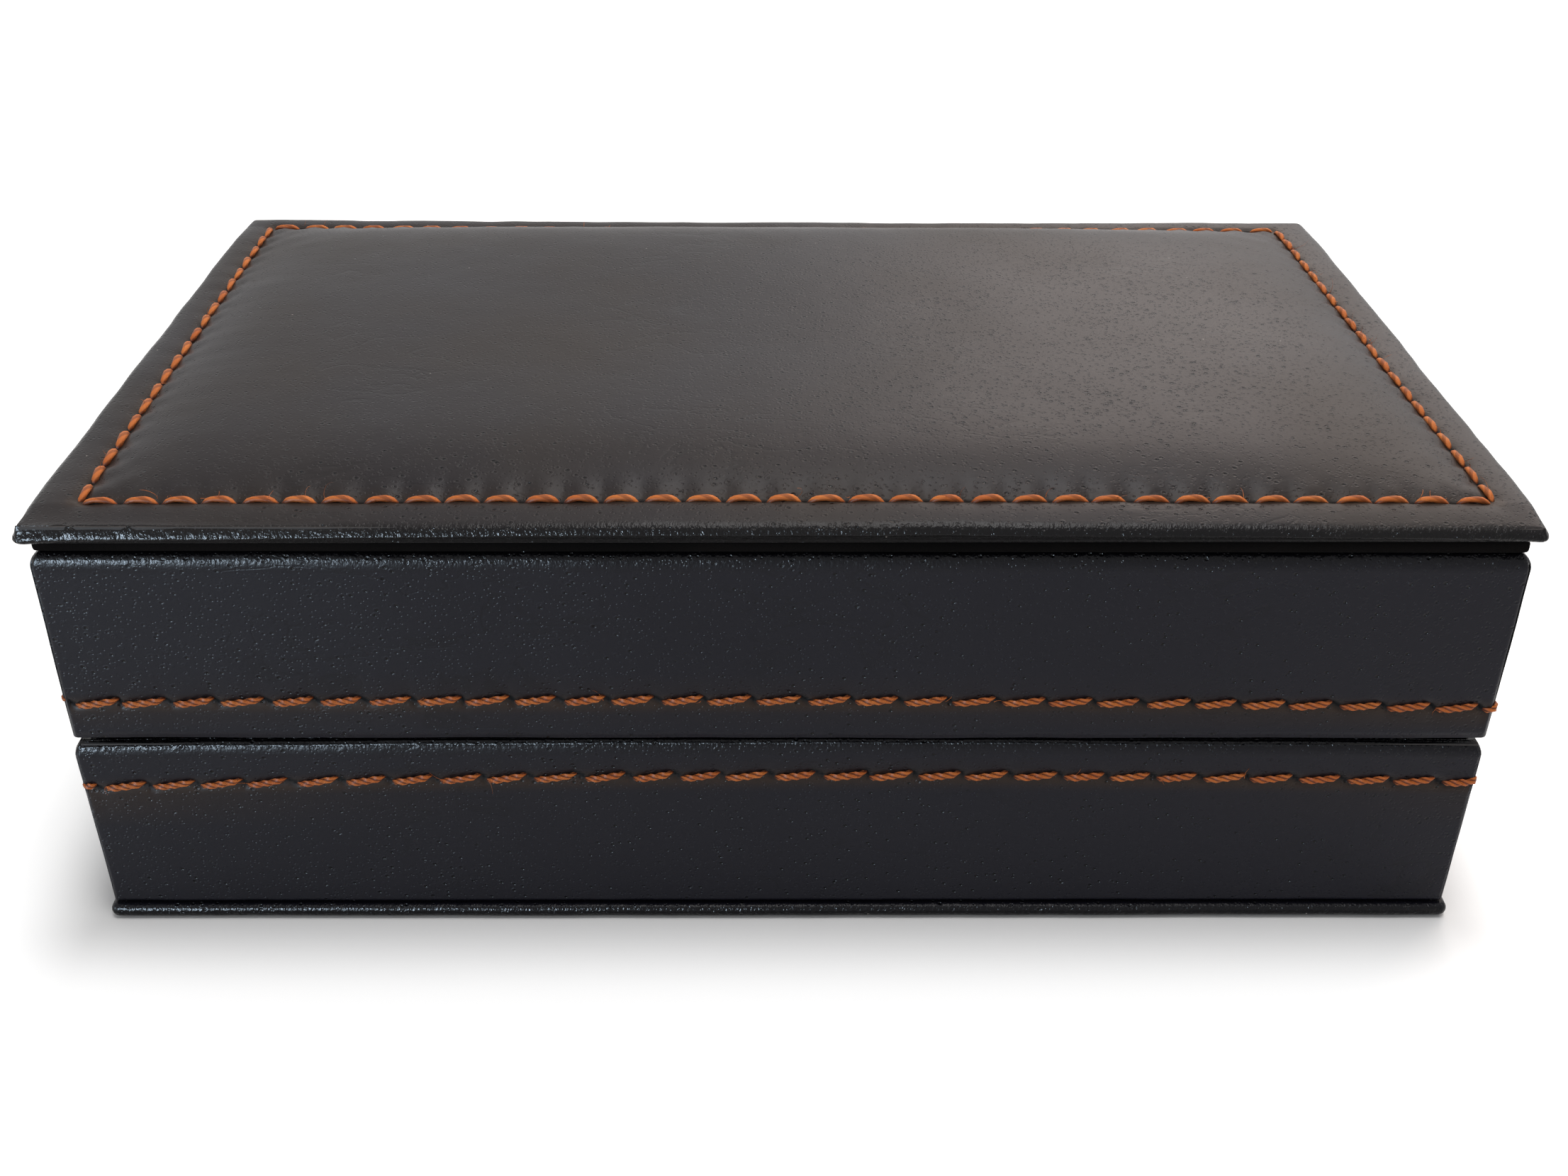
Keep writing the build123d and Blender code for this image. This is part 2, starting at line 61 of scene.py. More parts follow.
MM = 0.001
NOISE_SEED = 1
LID_LOW, LID_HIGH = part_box("lid_leather")
CASE_LOW, CASE_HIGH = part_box("case_leather")
DRAWER_LOW, DRAWER_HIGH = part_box("drawer_front_leather")
BASE_LOW, BASE_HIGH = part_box("base_leather")
LID_EDGES = (LID_HIGH.x, LID_LOW.y, LID_HIGH.y)
TRAY_ROW = (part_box("tray_stitching")[0].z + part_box("tray_stitching")[1].z) / 2
DRAWER_ROW = (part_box("drawer_stitching")[0].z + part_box("drawer_stitching")[1].z) / 2
HOUSING_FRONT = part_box("housing_stitching")[0].y

# The stitch rows on the tiers rise in the middle and tilt a little: row, rise, tilt.
TRAY_LINE = (TRAY_ROW - 0.6 * MM, 0.95 * MM, -0.35 * MM)
DRAWER_LINE = (DRAWER_ROW - 1.4 * MM, 1.6 * MM, 0.45 * MM)
TIER_SLANT = 8.5  # degrees that a stitch on the tiers rises to its right end
DRAWER_PITCH = 6.83 * MM

# Walls that the tiers' stitches follow: half width, half depth, corner radius.
CASE_WALLS = (CASE_HIGH.x, CASE_HIGH.y, 1.1 * MM)
DRAWER_WALLS = (DRAWER_HIGH.x, -DRAWER_LOW.y, 1.0 * MM)

# Heights and depths below an upper edge where the walls' leather gets mesh lines.
WALL_LINES = [height * MM for height in (7, 13, 18, 30.5, 34.2, 44, 48, 52, 56, 60)]
FRONT_LINES = [height * MM for height in (7, 12, 17, 30.2)]
EDGE_LINES = [depth * MM for depth in (2.6, 2.2, 1.8, 1.4, 1.0, 0.7, 0.4, 0.2)]
ROLL_REACH, ROLL_DEPTH, ROLL_SHINE = 2.3 * MM, 0.95 * MM, 2.6 * MM

# Light: white where it is seen, plain on the object. Lamps: name, place, size, power, colour.
PLAIN_LEVEL = 0.36
FLOOR_COLOUR, FLOOR_GLOW = (0.87, 0.87, 0.87, 1), 0.36
LAMPS = (
    ("overhead", (0.07, 0.0, 0.88), (0.8, 0.3), 6.0, (1.0, 0.99, 0.985)),
    ("back_right_window", (0.4, 0.7, 0.57), (0.75, 0.5), 3.1, (1.0, 0.84, 0.75)),
    ("left_window", (-0.38, -0.46, 0.18), (0.26, 0.13), 8.5, (0.68, 0.84, 1.0)),
)
LAMP_AIM = Vector((0, 0, 0.05))

# Camera fitted to the photograph: place, turns in degrees, and focal length in the photograph's pixels.
CAMERA_PLACE = (-0.00228, -0.25238, 0.17419)
CAMERA_PITCH, CAMERA_YAW, CAMERA_ROLL = 31.139, 0.684, 0.419
PHOTO_WIDTH, FOCAL_PIXELS, SENSOR_WIDTH = 2212, 2392.2, 36


# ---- Sizes and colours that a user would change ----
def length_setting(name, size, description):
    """A length, with its default in millimetres."""
    return FloatProperty(name=name, description=description, default=size * MM, unit="LENGTH")


def colour_setting(name, value, description):
    """An opaque colour."""
    return FloatVectorProperty(name=name, description=description, subtype="COLOR", size=4,
                               default=value + (1,))


class BoxSizes(bpy.types.PropertyGroup):
    mesh_step: length_setting("Mesh step", 1.3, "Spacing of the leather's mesh lines")
    lid_edge: length_setting("Lid edge", 2.6, "Thickness of the lid's rolled edge")
    lid_corner: length_setting("Lid corner", 1.4, "Radius of the lid's corners in plan")
    inset_front: length_setting("Front seam inset", 6.2, "From the lid's front edge to its seam")
    inset_side: length_setting("Side seam inset", 5.4, "From the lid's side edge to its seam")
    inset_back: length_setting("Back seam inset", 5.1, "From the lid's back edge to its seam")
    seam_depth: length_setting("Seam depth", 0.3, "How far a stitch pulls the leather in")
    hole_depth: length_setting("Hole depth", 0.55, "How far the leather dips at a needle hole")
    thread: length_setting("Thread", 1.05, "Diameter of the thread")
    tier_pitch: length_setting("Tier stitch pitch", 6.777, "Stitch spacing on the tiers")
    tier_stitch: length_setting("Tier stitch", 6.1, "Visible length of a stitch on the tiers")
    lid_pitch: length_setting("Lid stitch pitch", 5.45, "Stitch spacing on the lid")
    lid_stitch: length_setting("Lid stitch", 4.9, "Visible length of a stitch on the lid")
    pressure: FloatProperty(name="Padding pressure", description="Pressure that swells the padded pieces",
                            default=20.0)
    frames: IntProperty(name="Padding frames", description="Frames that the padding swells for", default=20)


class BoxColours(bpy.types.PropertyGroup):
    # The dark side is blue-black leather whose blue cast is partly painted cool light.
    leather: colour_setting("Leather", (0.0064, 0.0064, 0.0120), "Dark side of the leather's colour")
    # The browner side gives random patches, and on the lid it is also painted warm reflection.
    leather_warm: colour_setting("Warm leather", (0.0165, 0.0125, 0.0112),
                                 "Browner side of the leather's colour")
    stain: colour_setting("Seam stain", (0.032, 0.018, 0.0095), "Brown that the seams' edges take")
    thread: colour_setting("Thread", (0.43, 0.108, 0.022), "Waxed thread")
    velour: colour_setting("Velour", (0.014, 0.012, 0.0115), "Lining of the tray, drawer and lid")
    brass: colour_setting("Brass", (0.72, 0.48, 0.2), "Hinges and screws")


def sizes():
    """The sizes set on the scene."""
    return bpy.context.scene.box_sizes


def colours():
    """The colours set on the scene."""
    return bpy.context.scene.box_colours


# ---- Small modelling helpers ----
def only(piece):
    """Selects one piece and makes it active."""
    bpy.ops.object.select_all(action="DESELECT")
    piece.select_set(True)
    bpy.context.view_layer.objects.active = piece


def edit(piece, mode="VERT"):
    """Opens one piece in edit mode with nothing selected."""
    only(piece)
    bpy.ops.object.mode_set(mode="EDIT")
    bpy.ops.mesh.select_mode(type=mode)
    bpy.ops.mesh.select_all(action="DESELECT")


def leave():
    """Back to object mode."""
    bpy.ops.object.mode_set(mode="OBJECT")


def pick_edges(piece, test):
    """Selects the edges whose two ends pass a test, in edit mode."""
    mesh = bmesh.from_edit_mesh(piece.data)
    for edge in mesh.edges:
        edge.select = test(edge.verts[0].co, edge.verts[1].co)
    mesh.select_flush_mode()
    bmesh.update_edit_mesh(piece.data)


def settle(name):
    """Names the primitive just added and puts its place in its mesh."""
    piece = bpy.context.object
    piece.name = name
    only(piece)
    bpy.ops.object.transform_apply(location=True, rotation=True, scale=True)
    return piece


def block(name, low, high):
    """A box between two corners."""
    low, high = Vector(low), Vector(high)
    bpy.ops.mesh.primitive_cube_add(size=1, location=(low + high) / 2, scale=high - low)
    return settle(name)


def rod(name, sides, radius, start, cuts):
    """A unit rod along X from a start, cut across evenly."""
    bpy.ops.mesh.primitive_cylinder_add(vertices=sides, radius=radius, depth=1, rotation=(0, math.pi / 2, 0),
                                        location=(start + 0.5, 0, 0))
    piece = settle(name)
    edit(piece, "EDGE")
    pick_edges(piece, lambda a, b: abs(a.x - b.x) > 0.9)
    bpy.ops.mesh.subdivide(number_cuts=cuts)
    leave()
    return piece


def slice_across(piece, axis, places, test=None):
    """Cuts lines across a piece at places along one axis, or only across faces whose normal passes a test."""
    normal = [float(axis == n) for n in range(3)]
    edit(piece, "FACE")
    if test:
        mesh = bmesh.from_edit_mesh(piece.data)
        for face in mesh.faces:
            face.select_set(test(face.calc_center_median(), face.normal))
        bmesh.update_edit_mesh(piece.data)
        bpy.ops.mesh.hide(unselected=True)
    for place in places:
        bpy.ops.mesh.select_all(action="SELECT")
        bpy.ops.mesh.bisect(plane_co=[place * n for n in normal], plane_no=normal)
    bpy.ops.mesh.reveal(select=False)
    leave()


def steps(low, high, step):
    """Evenly spaced places between two values, without the ends."""
    count = max(1, round((high - low) / step))
    return [low + (high - low) * n / count for n in range(1, count)]


def slice_evenly(piece, low, high, border, step, test=None):
    """Cuts an even grid in plan, inside a border."""
    for axis in (0, 1):
        slice_across(piece, axis, steps(low[axis] + border, high[axis] - border, step), test)


def duplicate(source, name):
    """A new object with a copy of another one's mesh."""
    copy = bpy.data.objects.new(name, source.data.copy())
    bpy.context.scene.collection.objects.link(copy)
    return copy


def join(pieces, name):
    """Joins pieces into the first one."""
    only(pieces[0])
    for piece in pieces:
        piece.select_set(True)
    bpy.ops.object.join()
    pieces[0].name = name
    return pieces[0]


def copy_of(node, name):
    """A merged copy of a CAD node's mesh, flat faces rejoined, to be refined."""
    piece = duplicate(frame["nodes"][node], name)
    piece.data.materials.clear()
    edit(piece)
    bpy.ops.mesh.select_all(action="SELECT")
    bpy.ops.mesh.remove_doubles(threshold=1e-6)
    bpy.ops.mesh.dissolve_limited(angle_limit=math.radians(0.5))
    leave()
    return piece


def modifier(piece, kind, **settings):
    """A new modifier on a piece."""
    only(piece)
    bpy.ops.object.modifier_add(type=kind)
    added = piece.modifiers[-1]
    for key, value in settings.items():
        setattr(added, key, value)
    return added


def subdivide_smoothly(piece):
    """Applies one level of Subdivision Surface."""
    subdivision = modifier(piece, "SUBSURF", levels=1, render_levels=1)
    bpy.ops.object.modifier_apply(modifier=subdivision.name)


def shade(piece, angle):
    """Smooth shading, with edges sharper than the angle kept."""
    only(piece)
    bpy.ops.object.shade_smooth_by_angle(angle=math.radians(angle))


def coords(piece):
    """Vertex positions as an array."""
    points = np.empty(len(piece.data.vertices) * 3)
    piece.data.vertices.foreach_get("co", points)
    return points.reshape(-1, 3)


def set_coords(piece, points):
    """Writes vertex positions back."""
    piece.data.vertices.foreach_set("co", np.ascontiguousarray(points, dtype=float).ravel())
    piece.data.update()


def paint(piece, **fields):
    """Stores one number per vertex and field for the materials."""
    for name, values in fields.items():
        attribute = piece.data.attributes.new(name, "FLOAT", "POINT")
        attribute.data.foreach_set("value", np.asarray(values, dtype=np.float32))


def hold(piece, name, chosen):
    """A vertex group of the chosen vertices."""
    group = piece.vertex_groups.new(name=name)
    group.add([int(n) for n in np.nonzero(chosen)[0]], 1.0, "REPLACE")


def dress(piece, material, body, slot, *nodes):
    """Gives a finished piece its material and body, and hides the CAD nodes that it stands for. The slot is
    not used.
    """
    piece.data.materials.clear()
    piece.data.materials.append(bpy.data.materials[material])
    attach(piece, body)
    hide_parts(*nodes)


def edge_distance(points, half_width, front, back):
    """How far points lie inside the edges of a rectangle in plan."""
    x, y = points[:, 0], points[:, 1]
    return np.minimum(half_width - np.abs(x), np.minimum(y - front, back - y))


def unevenness(points, *waves):
    """A smooth random shift of each point, as if pulled by hand. Waves: reach and depth in mm, and seed."""
    noise.seed_set(NOISE_SEED)
    total = np.zeros_like(points)
    for reach, depth, seed in waves:
        shift = np.empty_like(points)
        offset = Vector((seed * 7.1, seed * 3.7, seed * 5.3))
        for index, point in enumerate(points):
            shift[index] = noise.noise_vector(Vector(point) / (reach * MM) + offset)
        total += shift * (depth * MM)
    return total


# ---- Node helpers ----
class Nodes:
    """Adds shader nodes to one tree. Sockets and plain values may both be given to them."""

    def __init__(self, tree):
        self.tree = tree

    def feed(self, node, inputs):
        """Links or sets a node's sockets."""
        for key, value in inputs.items():
            if isinstance(value, bpy.types.NodeSocket):
                self.tree.links.new(value, node.inputs[key])
            else:
                node.inputs[key].default_value = value

    def add(self, kind, inputs=None, **settings):
        """A node with its settings, and its sockets linked or set."""
        node = self.tree.nodes.new(kind)
        for key, value in settings.items():
            setattr(node, key, value)
        self.feed(node, inputs or {})
        return node

    def maths(self, operation, first, second=0.0):
        """One arithmetic node."""
        return self.add("ShaderNodeMath", {0: first, 1: second}, operation=operation).outputs[0]

    def times(self, value, *factors):
        """A product."""
        for factor in factors:
            value = self.maths("MULTIPLY", value, factor)
        return value

    def away(self, value, centre):
        """How far a value is from a centre."""
        return self.maths("ABSOLUTE", self.maths("SUBTRACT", value, centre))

    def vector(self, operation, *inputs):
        """One vector node."""
        return self.add("ShaderNodeVectorMath", dict(enumerate(inputs)), operation=operation).outputs

    def ramp(self, value, low, high, out_low=0.0, out_high=1.0):
        """A smooth step from low to high."""
        sockets = {"Value": value, "From Min": low, "From Max": high, "To Min": out_low, "To Max": out_high}
        return self.add("ShaderNodeMapRange", sockets, interpolation_type="SMOOTHSTEP").outputs["Result"]

    def blend(self, factor, first, second):
        """A mix of two colours."""
        return self.add("ShaderNodeMix", {0: factor, 6: first, 7: second}, data_type="RGBA").outputs[2]

    def place(self):
        """Object coordinates."""
        return self.add("ShaderNodeTexCoord").outputs["Object"]

    def stretched(self, vector, scale):
        """Coordinates stretched along the axes."""
        return self.add("ShaderNodeMapping", {"Vector": vector, "Scale": scale}).outputs["Vector"]

    def noise(self, vector, scale, detail=2.0, roughness=0.5, distortion=0.0):
        """Noise from 0 to 1."""
        sockets = {"Vector": vector, "Scale": scale, "Detail": detail, "Roughness": roughness,
                   "Distortion": distortion}
        return self.add("ShaderNodeTexNoise", sockets).outputs["Fac"]

    def cells(self, vector, scale):
        """Scattered cells: the distance from each cell's centre, and its random colour as three numbers."""
        cells = self.add("ShaderNodeTexVoronoi", {"Vector": vector, "Scale": scale}).outputs
        return cells["Distance"], self.add("ShaderNodeSeparateColor", {0: cells["Color"]}).outputs

    def attribute(self, name):
        """One number per vertex, painted on the piece."""
        return self.add("ShaderNodeAttribute", attribute_name=name).outputs["Fac"]

    def group(self, name, **inputs):
        """Places a shared effect."""
        return self.add("ShaderNodeGroup", inputs, node_tree=bpy.data.node_groups[name]).outputs

    def bump(self, surface, height, depth, strength):
        """Feeds a height to the shader's normal."""
        node = self.add("ShaderNodeBump", {"Height": height, "Distance": depth * MM, "Strength": strength})
        self.tree.links.new(node.outputs["Normal"], surface.inputs["Normal"])

    def seen(self):
        """1 for the camera and for what mirrors or bends its rays, else 0."""
        rays = self.add("ShaderNodeLightPath").outputs
        seen = self.maths("MAXIMUM", rays["Is Camera Ray"], rays["Is Glossy Ray"])
        return self.maths("MAXIMUM", seen, rays["Is Transmission Ray"])


def new_group(name, inputs, outputs):
    """An empty node group with number sockets: its nodes, what it is given, and the node it puts out."""
    tree = bpy.data.node_groups.new(name, "ShaderNodeTree")
    for title, default in inputs.items():
        socket = tree.interface.new_socket(name=title, in_out="INPUT", socket_type="NodeSocketFloat")
        socket.default_value = default
    for title in outputs:
        tree.interface.new_socket(name=title, in_out="OUTPUT", socket_type="NodeSocketFloat")
    return Nodes(tree), tree.nodes.new("NodeGroupInput").outputs, tree.nodes.new("NodeGroupOutput")


def leather_grain_group():
    """Pores, fine grain, creases, pulled grain on rolled edges, and colour patches of smooth leather."""
    nodes, given, out = new_group("leather_grain", {"Pores": 1.0, "Creases": 1.0, "Roll": 0.0},
                                  ("Height", "Pore mask", "Patches", "Specks"))
    place = nodes.place()

    distance, tints = nodes.cells(nodes.stretched(place, (0.8, 1, 1)), 860)
    porous = nodes.ramp(nodes.noise(place, 45, detail=2), 0.36, 0.58, 0.45, 1.0)
    strength = nodes.times(nodes.ramp(tints[0], 0.15, 0.3), porous, given["Pores"])
    pore = nodes.times(nodes.ramp(distance, 0.08, 0.21, 1.0, 0.0), strength)
    rim = nodes.times(nodes.ramp(nodes.away(distance, 0.3), 0.0, 0.1, 0.2, 0.0), strength)
    small_distance, _ = nodes.cells(place, 1500)
    small_pore = nodes.times(nodes.ramp(small_distance, 0.12, 0.32, 0.4, 0.0), given["Pores"])

    grain = nodes.noise(place, 1700, detail=3, roughness=0.6)
    crease_field = nodes.noise(nodes.stretched(place, (0.55, 1, 1)), 120, detail=4, distortion=0.7)
    crease = nodes.ramp(nodes.away(crease_field, 0.5), 0.0, 0.03, 1.0, 0.0)
    crease = nodes.times(crease, nodes.ramp(nodes.noise(place, 30), 0.48, 0.64), given["Creases"])
    pulled = nodes.noise(nodes.stretched(place, (1.6, 0.9, 0.9)), 1150, detail=2, roughness=0.6)

    height = nodes.maths("ADD", nodes.times(grain, 0.3), rim)
    for lowered in (pore, small_pore, nodes.times(crease, 0.5)):
        height = nodes.maths("SUBTRACT", height, lowered)
    height = nodes.maths("ADD", height, nodes.times(pulled, given["Roll"], 2.0))

    speck_distance, speck_tints = nodes.cells(place, 300)
    specks = nodes.ramp(speck_distance, 0.025, 0.045, 1.0, 0.0)
    specks = nodes.times(specks, nodes.ramp(speck_tints[1], 0.8, 0.82))
    nodes.feed(out, {
        "Height": height,
        # Pore mask: pores and creases, which the leather paints near black as painted shade.
        "Pore mask": nodes.maths("MAXIMUM", pore, nodes.times(crease, 0.4)),
        "Patches": nodes.noise(place, 22, detail=3),
        "Specks": specks,
    })


def nap_group():
    """Short pile of velour and felt: height and a soft brushed shade."""
    nodes, given, out = new_group("fabric_nap", {"Pile": 1.0}, ("Height", "Shade"))
    place = nodes.place()
    pile = nodes.noise(place, 2600, detail=3, roughness=0.7)
    brushed = nodes.noise(nodes.stretched(place, (1, 1.6, 1)), 38, detail=3, distortion=0.6)
    nodes.feed(out, {"Height": nodes.times(pile, given["Pile"]), "Shade": nodes.ramp(brushed, 0.3, 0.7)})


def shader(name, **constants):
    """A material with one Principled shader, whose even values are set on its own sockets."""
    material = bpy.data.materials.new(name)
    material.use_nodes = True
    surface = material.node_tree.nodes["Principled BSDF"]
    for key, value in constants.items():
        surface.inputs[key.replace("_", " ")].default_value = value
    return Nodes(material.node_tree), surface


def leather_material(name, pores, creases, gloss, level, warmth):
    """Dark smooth leather, with painted shade in its pores, creases, rolled edges and needle holes. Pieces
    carry the attributes roll (rolled edges), stain (beside seams) and hole.
    """
    nodes, surface = shader(name, Specular_IOR_Level=0.14)
    roll, hole = nodes.attribute("roll"), nodes.attribute("hole")
    grain = nodes.group("leather_grain", Pores=pores, Creases=creases, Roll=roll)
    # Warmth and level shift a copy's colour: on the lid they are painted warm reflection.
    pairs = list(zip(colours().leather[:3], colours().leather_warm[:3]))
    dark, warm_patch_and_reflection = ([level * (cool + share * (warm - cool)) for cool, warm in pairs] + [1]
                  for share in (0.6 * warmth, warmth))
    colour = nodes.blend(nodes.ramp(grain["Patches"], 0.35, 0.68), dark, warm_patch_and_reflection)
    layers = (
        (nodes.attribute("stain"), tuple(colours().stain)),
        # Pores and creases painted near black: painted shade in the hollows.
        (grain["Pore mask"], (0.001, 0.001, 0.001, 1)),
        # Rolled edges painted darker: painted shade on the roll.
        (nodes.times(roll, 0.85), (0.0025, 0.0024, 0.003, 1)),
        (nodes.times(grain["Specks"], 0.8), (0.3, 0.28, 0.26, 1)),
        # Needle holes painted near black: painted shade in the holes.
        (hole, (0.0008, 0.0006, 0.0006, 1)),
    )
    for factor, layer in layers:
        colour = nodes.blend(factor, colour, layer)
    shine = nodes.maths("MAXIMUM", roll, grain["Pore mask"])
    rough = nodes.ramp(grain["Patches"], 0.25, 0.75, gloss, gloss + 0.1)
    rough = nodes.maths("SUBTRACT", rough, nodes.times(shine, 0.2))
    nodes.feed(surface, {"Base Color": colour, "Roughness": nodes.maths("MAXIMUM", rough, hole)})
    nodes.bump(surface, grain["Height"], 0.1, 1.0)


def thread_material():
    """Waxed twisted thread with fine fibres, painted darker between its plies and at its ends: painted shade.
    """
    nodes, surface = shader("waxed_thread", Specular_IOR_Level=0.12, Sheen_Weight=0.06)
    place = nodes.place()
    fibres = nodes.noise(place, 5200, detail=3, roughness=0.7)
    tone = nodes.ramp(nodes.noise(place, 150, detail=2), 0.3, 0.7)
    colour = nodes.blend(tone, tuple(colours().thread), (0.54, 0.16, 0.034, 1))
    # Painted shade between the plies and at the ends, where the thread dives into its holes.
    colour = nodes.blend(nodes.ramp(nodes.attribute("ply"), 0.55, 0.0), colour, (0.09, 0.02, 0.007, 1))
    nodes.feed(surface, {"Base Color": colour, "Roughness": nodes.ramp(fibres, 0.2, 0.8, 0.36, 0.58)})
    nodes.bump(surface, fibres, 0.05, 0.8)


def velour_material(name, colour, pile, sheen):
    """Short-pile fabric."""
    nodes, surface = shader(name, Roughness=0.9, Specular_IOR_Level=sheen, Sheen_Weight=sheen,
                            Sheen_Roughness=0.35)
    nap = nodes.group("fabric_nap", Pile=pile)
    light = tuple(min(1, 1.7 * c) for c in colour[:3]) + (1,)
    nodes.feed(surface, {"Base Color": nodes.blend(nap["Shade"], tuple(colour), light)})
    nodes.bump(surface, nap["Height"], 0.12, 0.8)


def board_material():
    """Fibreboard covered with dark lining paper."""
    nodes, surface = shader("lining_paper", Specular_IOR_Level=0.3)
    fibre = nodes.noise(nodes.stretched(nodes.place(), (1, 1, 3)), 900, detail=4, roughness=0.7)
    colour = nodes.blend(fibre, (0.02, 0.016, 0.014, 1), (0.034, 0.027, 0.024, 1))
    nodes.feed(surface, {"Base Color": colour, "Roughness": nodes.ramp(fibre, 0.2, 0.8, 0.7, 0.85)})
    nodes.bump(surface, fibre, 0.04, 0.6)


def brass_material():
    """Polished brass with fine rubbing marks."""
    nodes, surface = shader("polished_brass", Metallic=1.0)
    place = nodes.place()
    rubbed = nodes.noise(nodes.stretched(place, (1, 14, 14)), 600, detail=3)
    tarnish = nodes.ramp(nodes.noise(place, 260, detail=4), 0.45, 0.8)
    colour = nodes.blend(tarnish, tuple(colours().brass), (0.42, 0.26, 0.1, 1))
    nodes.feed(surface, {"Base Color": colour, "Roughness": nodes.ramp(rubbed, 0.3, 0.7, 0.22, 0.38)})
    nodes.bump(surface, rubbed, 0.02, 0.4)


# ---- Padding ----
def swell(piece, free, cap, soft, direction):
    """Swells a closed piece by cloth pressure. Only free vertices move, along direction and softly capped."""
    start = coords(piece)
    hold(piece, "held", ~free)
    cloth = modifier(piece, "CLOTH")
    settings = cloth.settings
    settings.quality = 6
    settings.mass = 0.05
    settings.tension_stiffness = settings.shear_stiffness = settings.compression_stiffness = 1
    settings.bending_stiffness = 0.05
    settings.use_pressure = True
    settings.uniform_pressure_force = sizes().pressure
    settings.vertex_group_mass = "held"
    settings.effector_weights.gravity = 0
    cloth.collision_settings.use_collision = False
    cloth.point_cache.frame_start = 1
    cloth.point_cache.frame_end = sizes().frames
    for step in range(1, sizes().frames + 1):
        bpy.context.scene.frame_set(step)
    swelled = piece.evaluated_get(bpy.context.evaluated_depsgraph_get()).data
    moved = np.empty(len(swelled.vertices) * 3)
    swelled.vertices.foreach_get("co", moved)
    bpy.ops.object.modifier_apply(modifier=cloth.name)
    bpy.context.scene.frame_set(1)
    rise = np.clip((moved.reshape(-1, 3) - start) @ np.array(direction), 0, None)
    capped = cap * np.tanh(rise / soft)
    set_coords(piece, start + np.outer(np.where(free, capped, 0), direction))
    piece.vertex_groups.clear()


# ---- Seams ----
def level(line, x):
    """Height of a stitch row at x."""
    base, rise, tilt = line
    share = x / CASE_HIGH.x
    return base + rise * (1 - share**2) + tilt * share


def wall_point(s, half_x, half_y, radius):
    """Point and outward normal at a distance round the walls from the middle of the front."""
    flat_x, flat_y, arc = half_x - radius, half_y - radius, radius * math.pi / 2
    spans = (flat_x, arc, 2 * flat_y, arc, 2 * flat_x, arc, 2 * flat_y, arc, flat_x)
    s %= sum(spans)
    x, y, turn = 0.0, -half_y, 0.0
    for index, span in enumerate(spans):
        step = min(s, span)
        if index % 2 == 0:
            x += step * math.cos(turn)
            y += step * math.sin(turn)
        else:
            centre_x, centre_y = x - radius * math.sin(turn), y + radius * math.cos(turn)
            turn += step / radius
            x, y = centre_x + radius * math.sin(turn), centre_y - radius * math.cos(turn)
        s -= step
        if s <= 0:
            break
    return Vector((x, y)), Vector((math.sin(turn), -math.cos(turn)))


def wall_length(half_x, half_y, radius):
    """Distance round the walls."""
    return 4 * (half_x + half_y - 2 * radius) + 2 * math.pi * radius


def seam(first, pitch, count, length, seed):
    """Centre and half length of each stitch of a row, a little uneven."""
    draw = random.Random(seed)
    places = []
    for n in range(count):
        centre = first + n * pitch + draw.uniform(-0.035, 0.035) * pitch
        places.append((centre, length / 2 * draw.uniform(0.94, 1.03)))
    return places


def tray_seam():
    """Stitches right round the tray."""
    count = round(wall_length(*CASE_WALLS) / sizes().tier_pitch)
    pitch = wall_length(*CASE_WALLS) / count
    return seam(-0.5 * MM - (count // 2) * pitch, pitch, count, sizes().tier_stitch, seed=3)


def drawer_seam():
    """Stitches across the drawer front and round its two ends."""
    places = seam(1.9 * MM - 14 * DRAWER_PITCH, DRAWER_PITCH, 29, sizes().tier_stitch, seed=5)
    return [(-DRAWER_HIGH.x - 0.2 * MM, 2.0 * MM)] + places


def housing_seam():
    """Stitches along the sides and back, level with the drawer's."""
    half_x, half_y, radius = CASE_WALLS
    past_corner = half_x - radius + radius * math.pi / 2
    start = past_corner + (HOUSING_FRONT + half_y - radius) + sizes().tier_stitch / 2
    end = wall_length(*CASE_WALLS) - start
    count = round((end - start) / sizes().tier_pitch) + 1
    return seam(start, (end - start) / (count - 1), count, sizes().tier_stitch, seed=7)


def one_stitch(plies, turns, depth, rings):
    """One twisted stitch along X, one unit long and thick; the attribute ply marks its plies, low between
    them and at its ends, where the thread gets painted shade.
    """
    piece = rod("one_stitch", 6, 0.5, -0.5, rings - 1)
    points = coords(piece)
    ring = np.hypot(points[:, 1], points[:, 2])
    turn = np.arctan2(points[:, 2], points[:, 1])
    lobe = np.cos(plies / 2 * turn) ** 2
    twist = points[:, 0] * turns * 2 * math.pi
    taper = 1 - 0.6 * np.abs(2 * points[:, 0]) ** 6
    radius = np.where(ring > 1e-6, 0.5 * (1.04 - depth + depth * lobe) * taper, 0)
    points[:, 1] = radius * np.cos(turn + twist)
    points[:, 2] = radius * np.sin(turn + twist)
    set_coords(piece, points)
    paint(piece, ply=lobe * (1 - np.abs(2 * points[:, 0]) ** 10))
    shade(piece, 80)
    return piece


def one_hair():
    """A loose fibre along X, one unit long, with three sides."""
    piece = rod("one_hair", 3, 1, 0, 6)
    paint(piece, ply=np.ones(len(piece.data.vertices)))
    shade(piece, 80)
    return piece


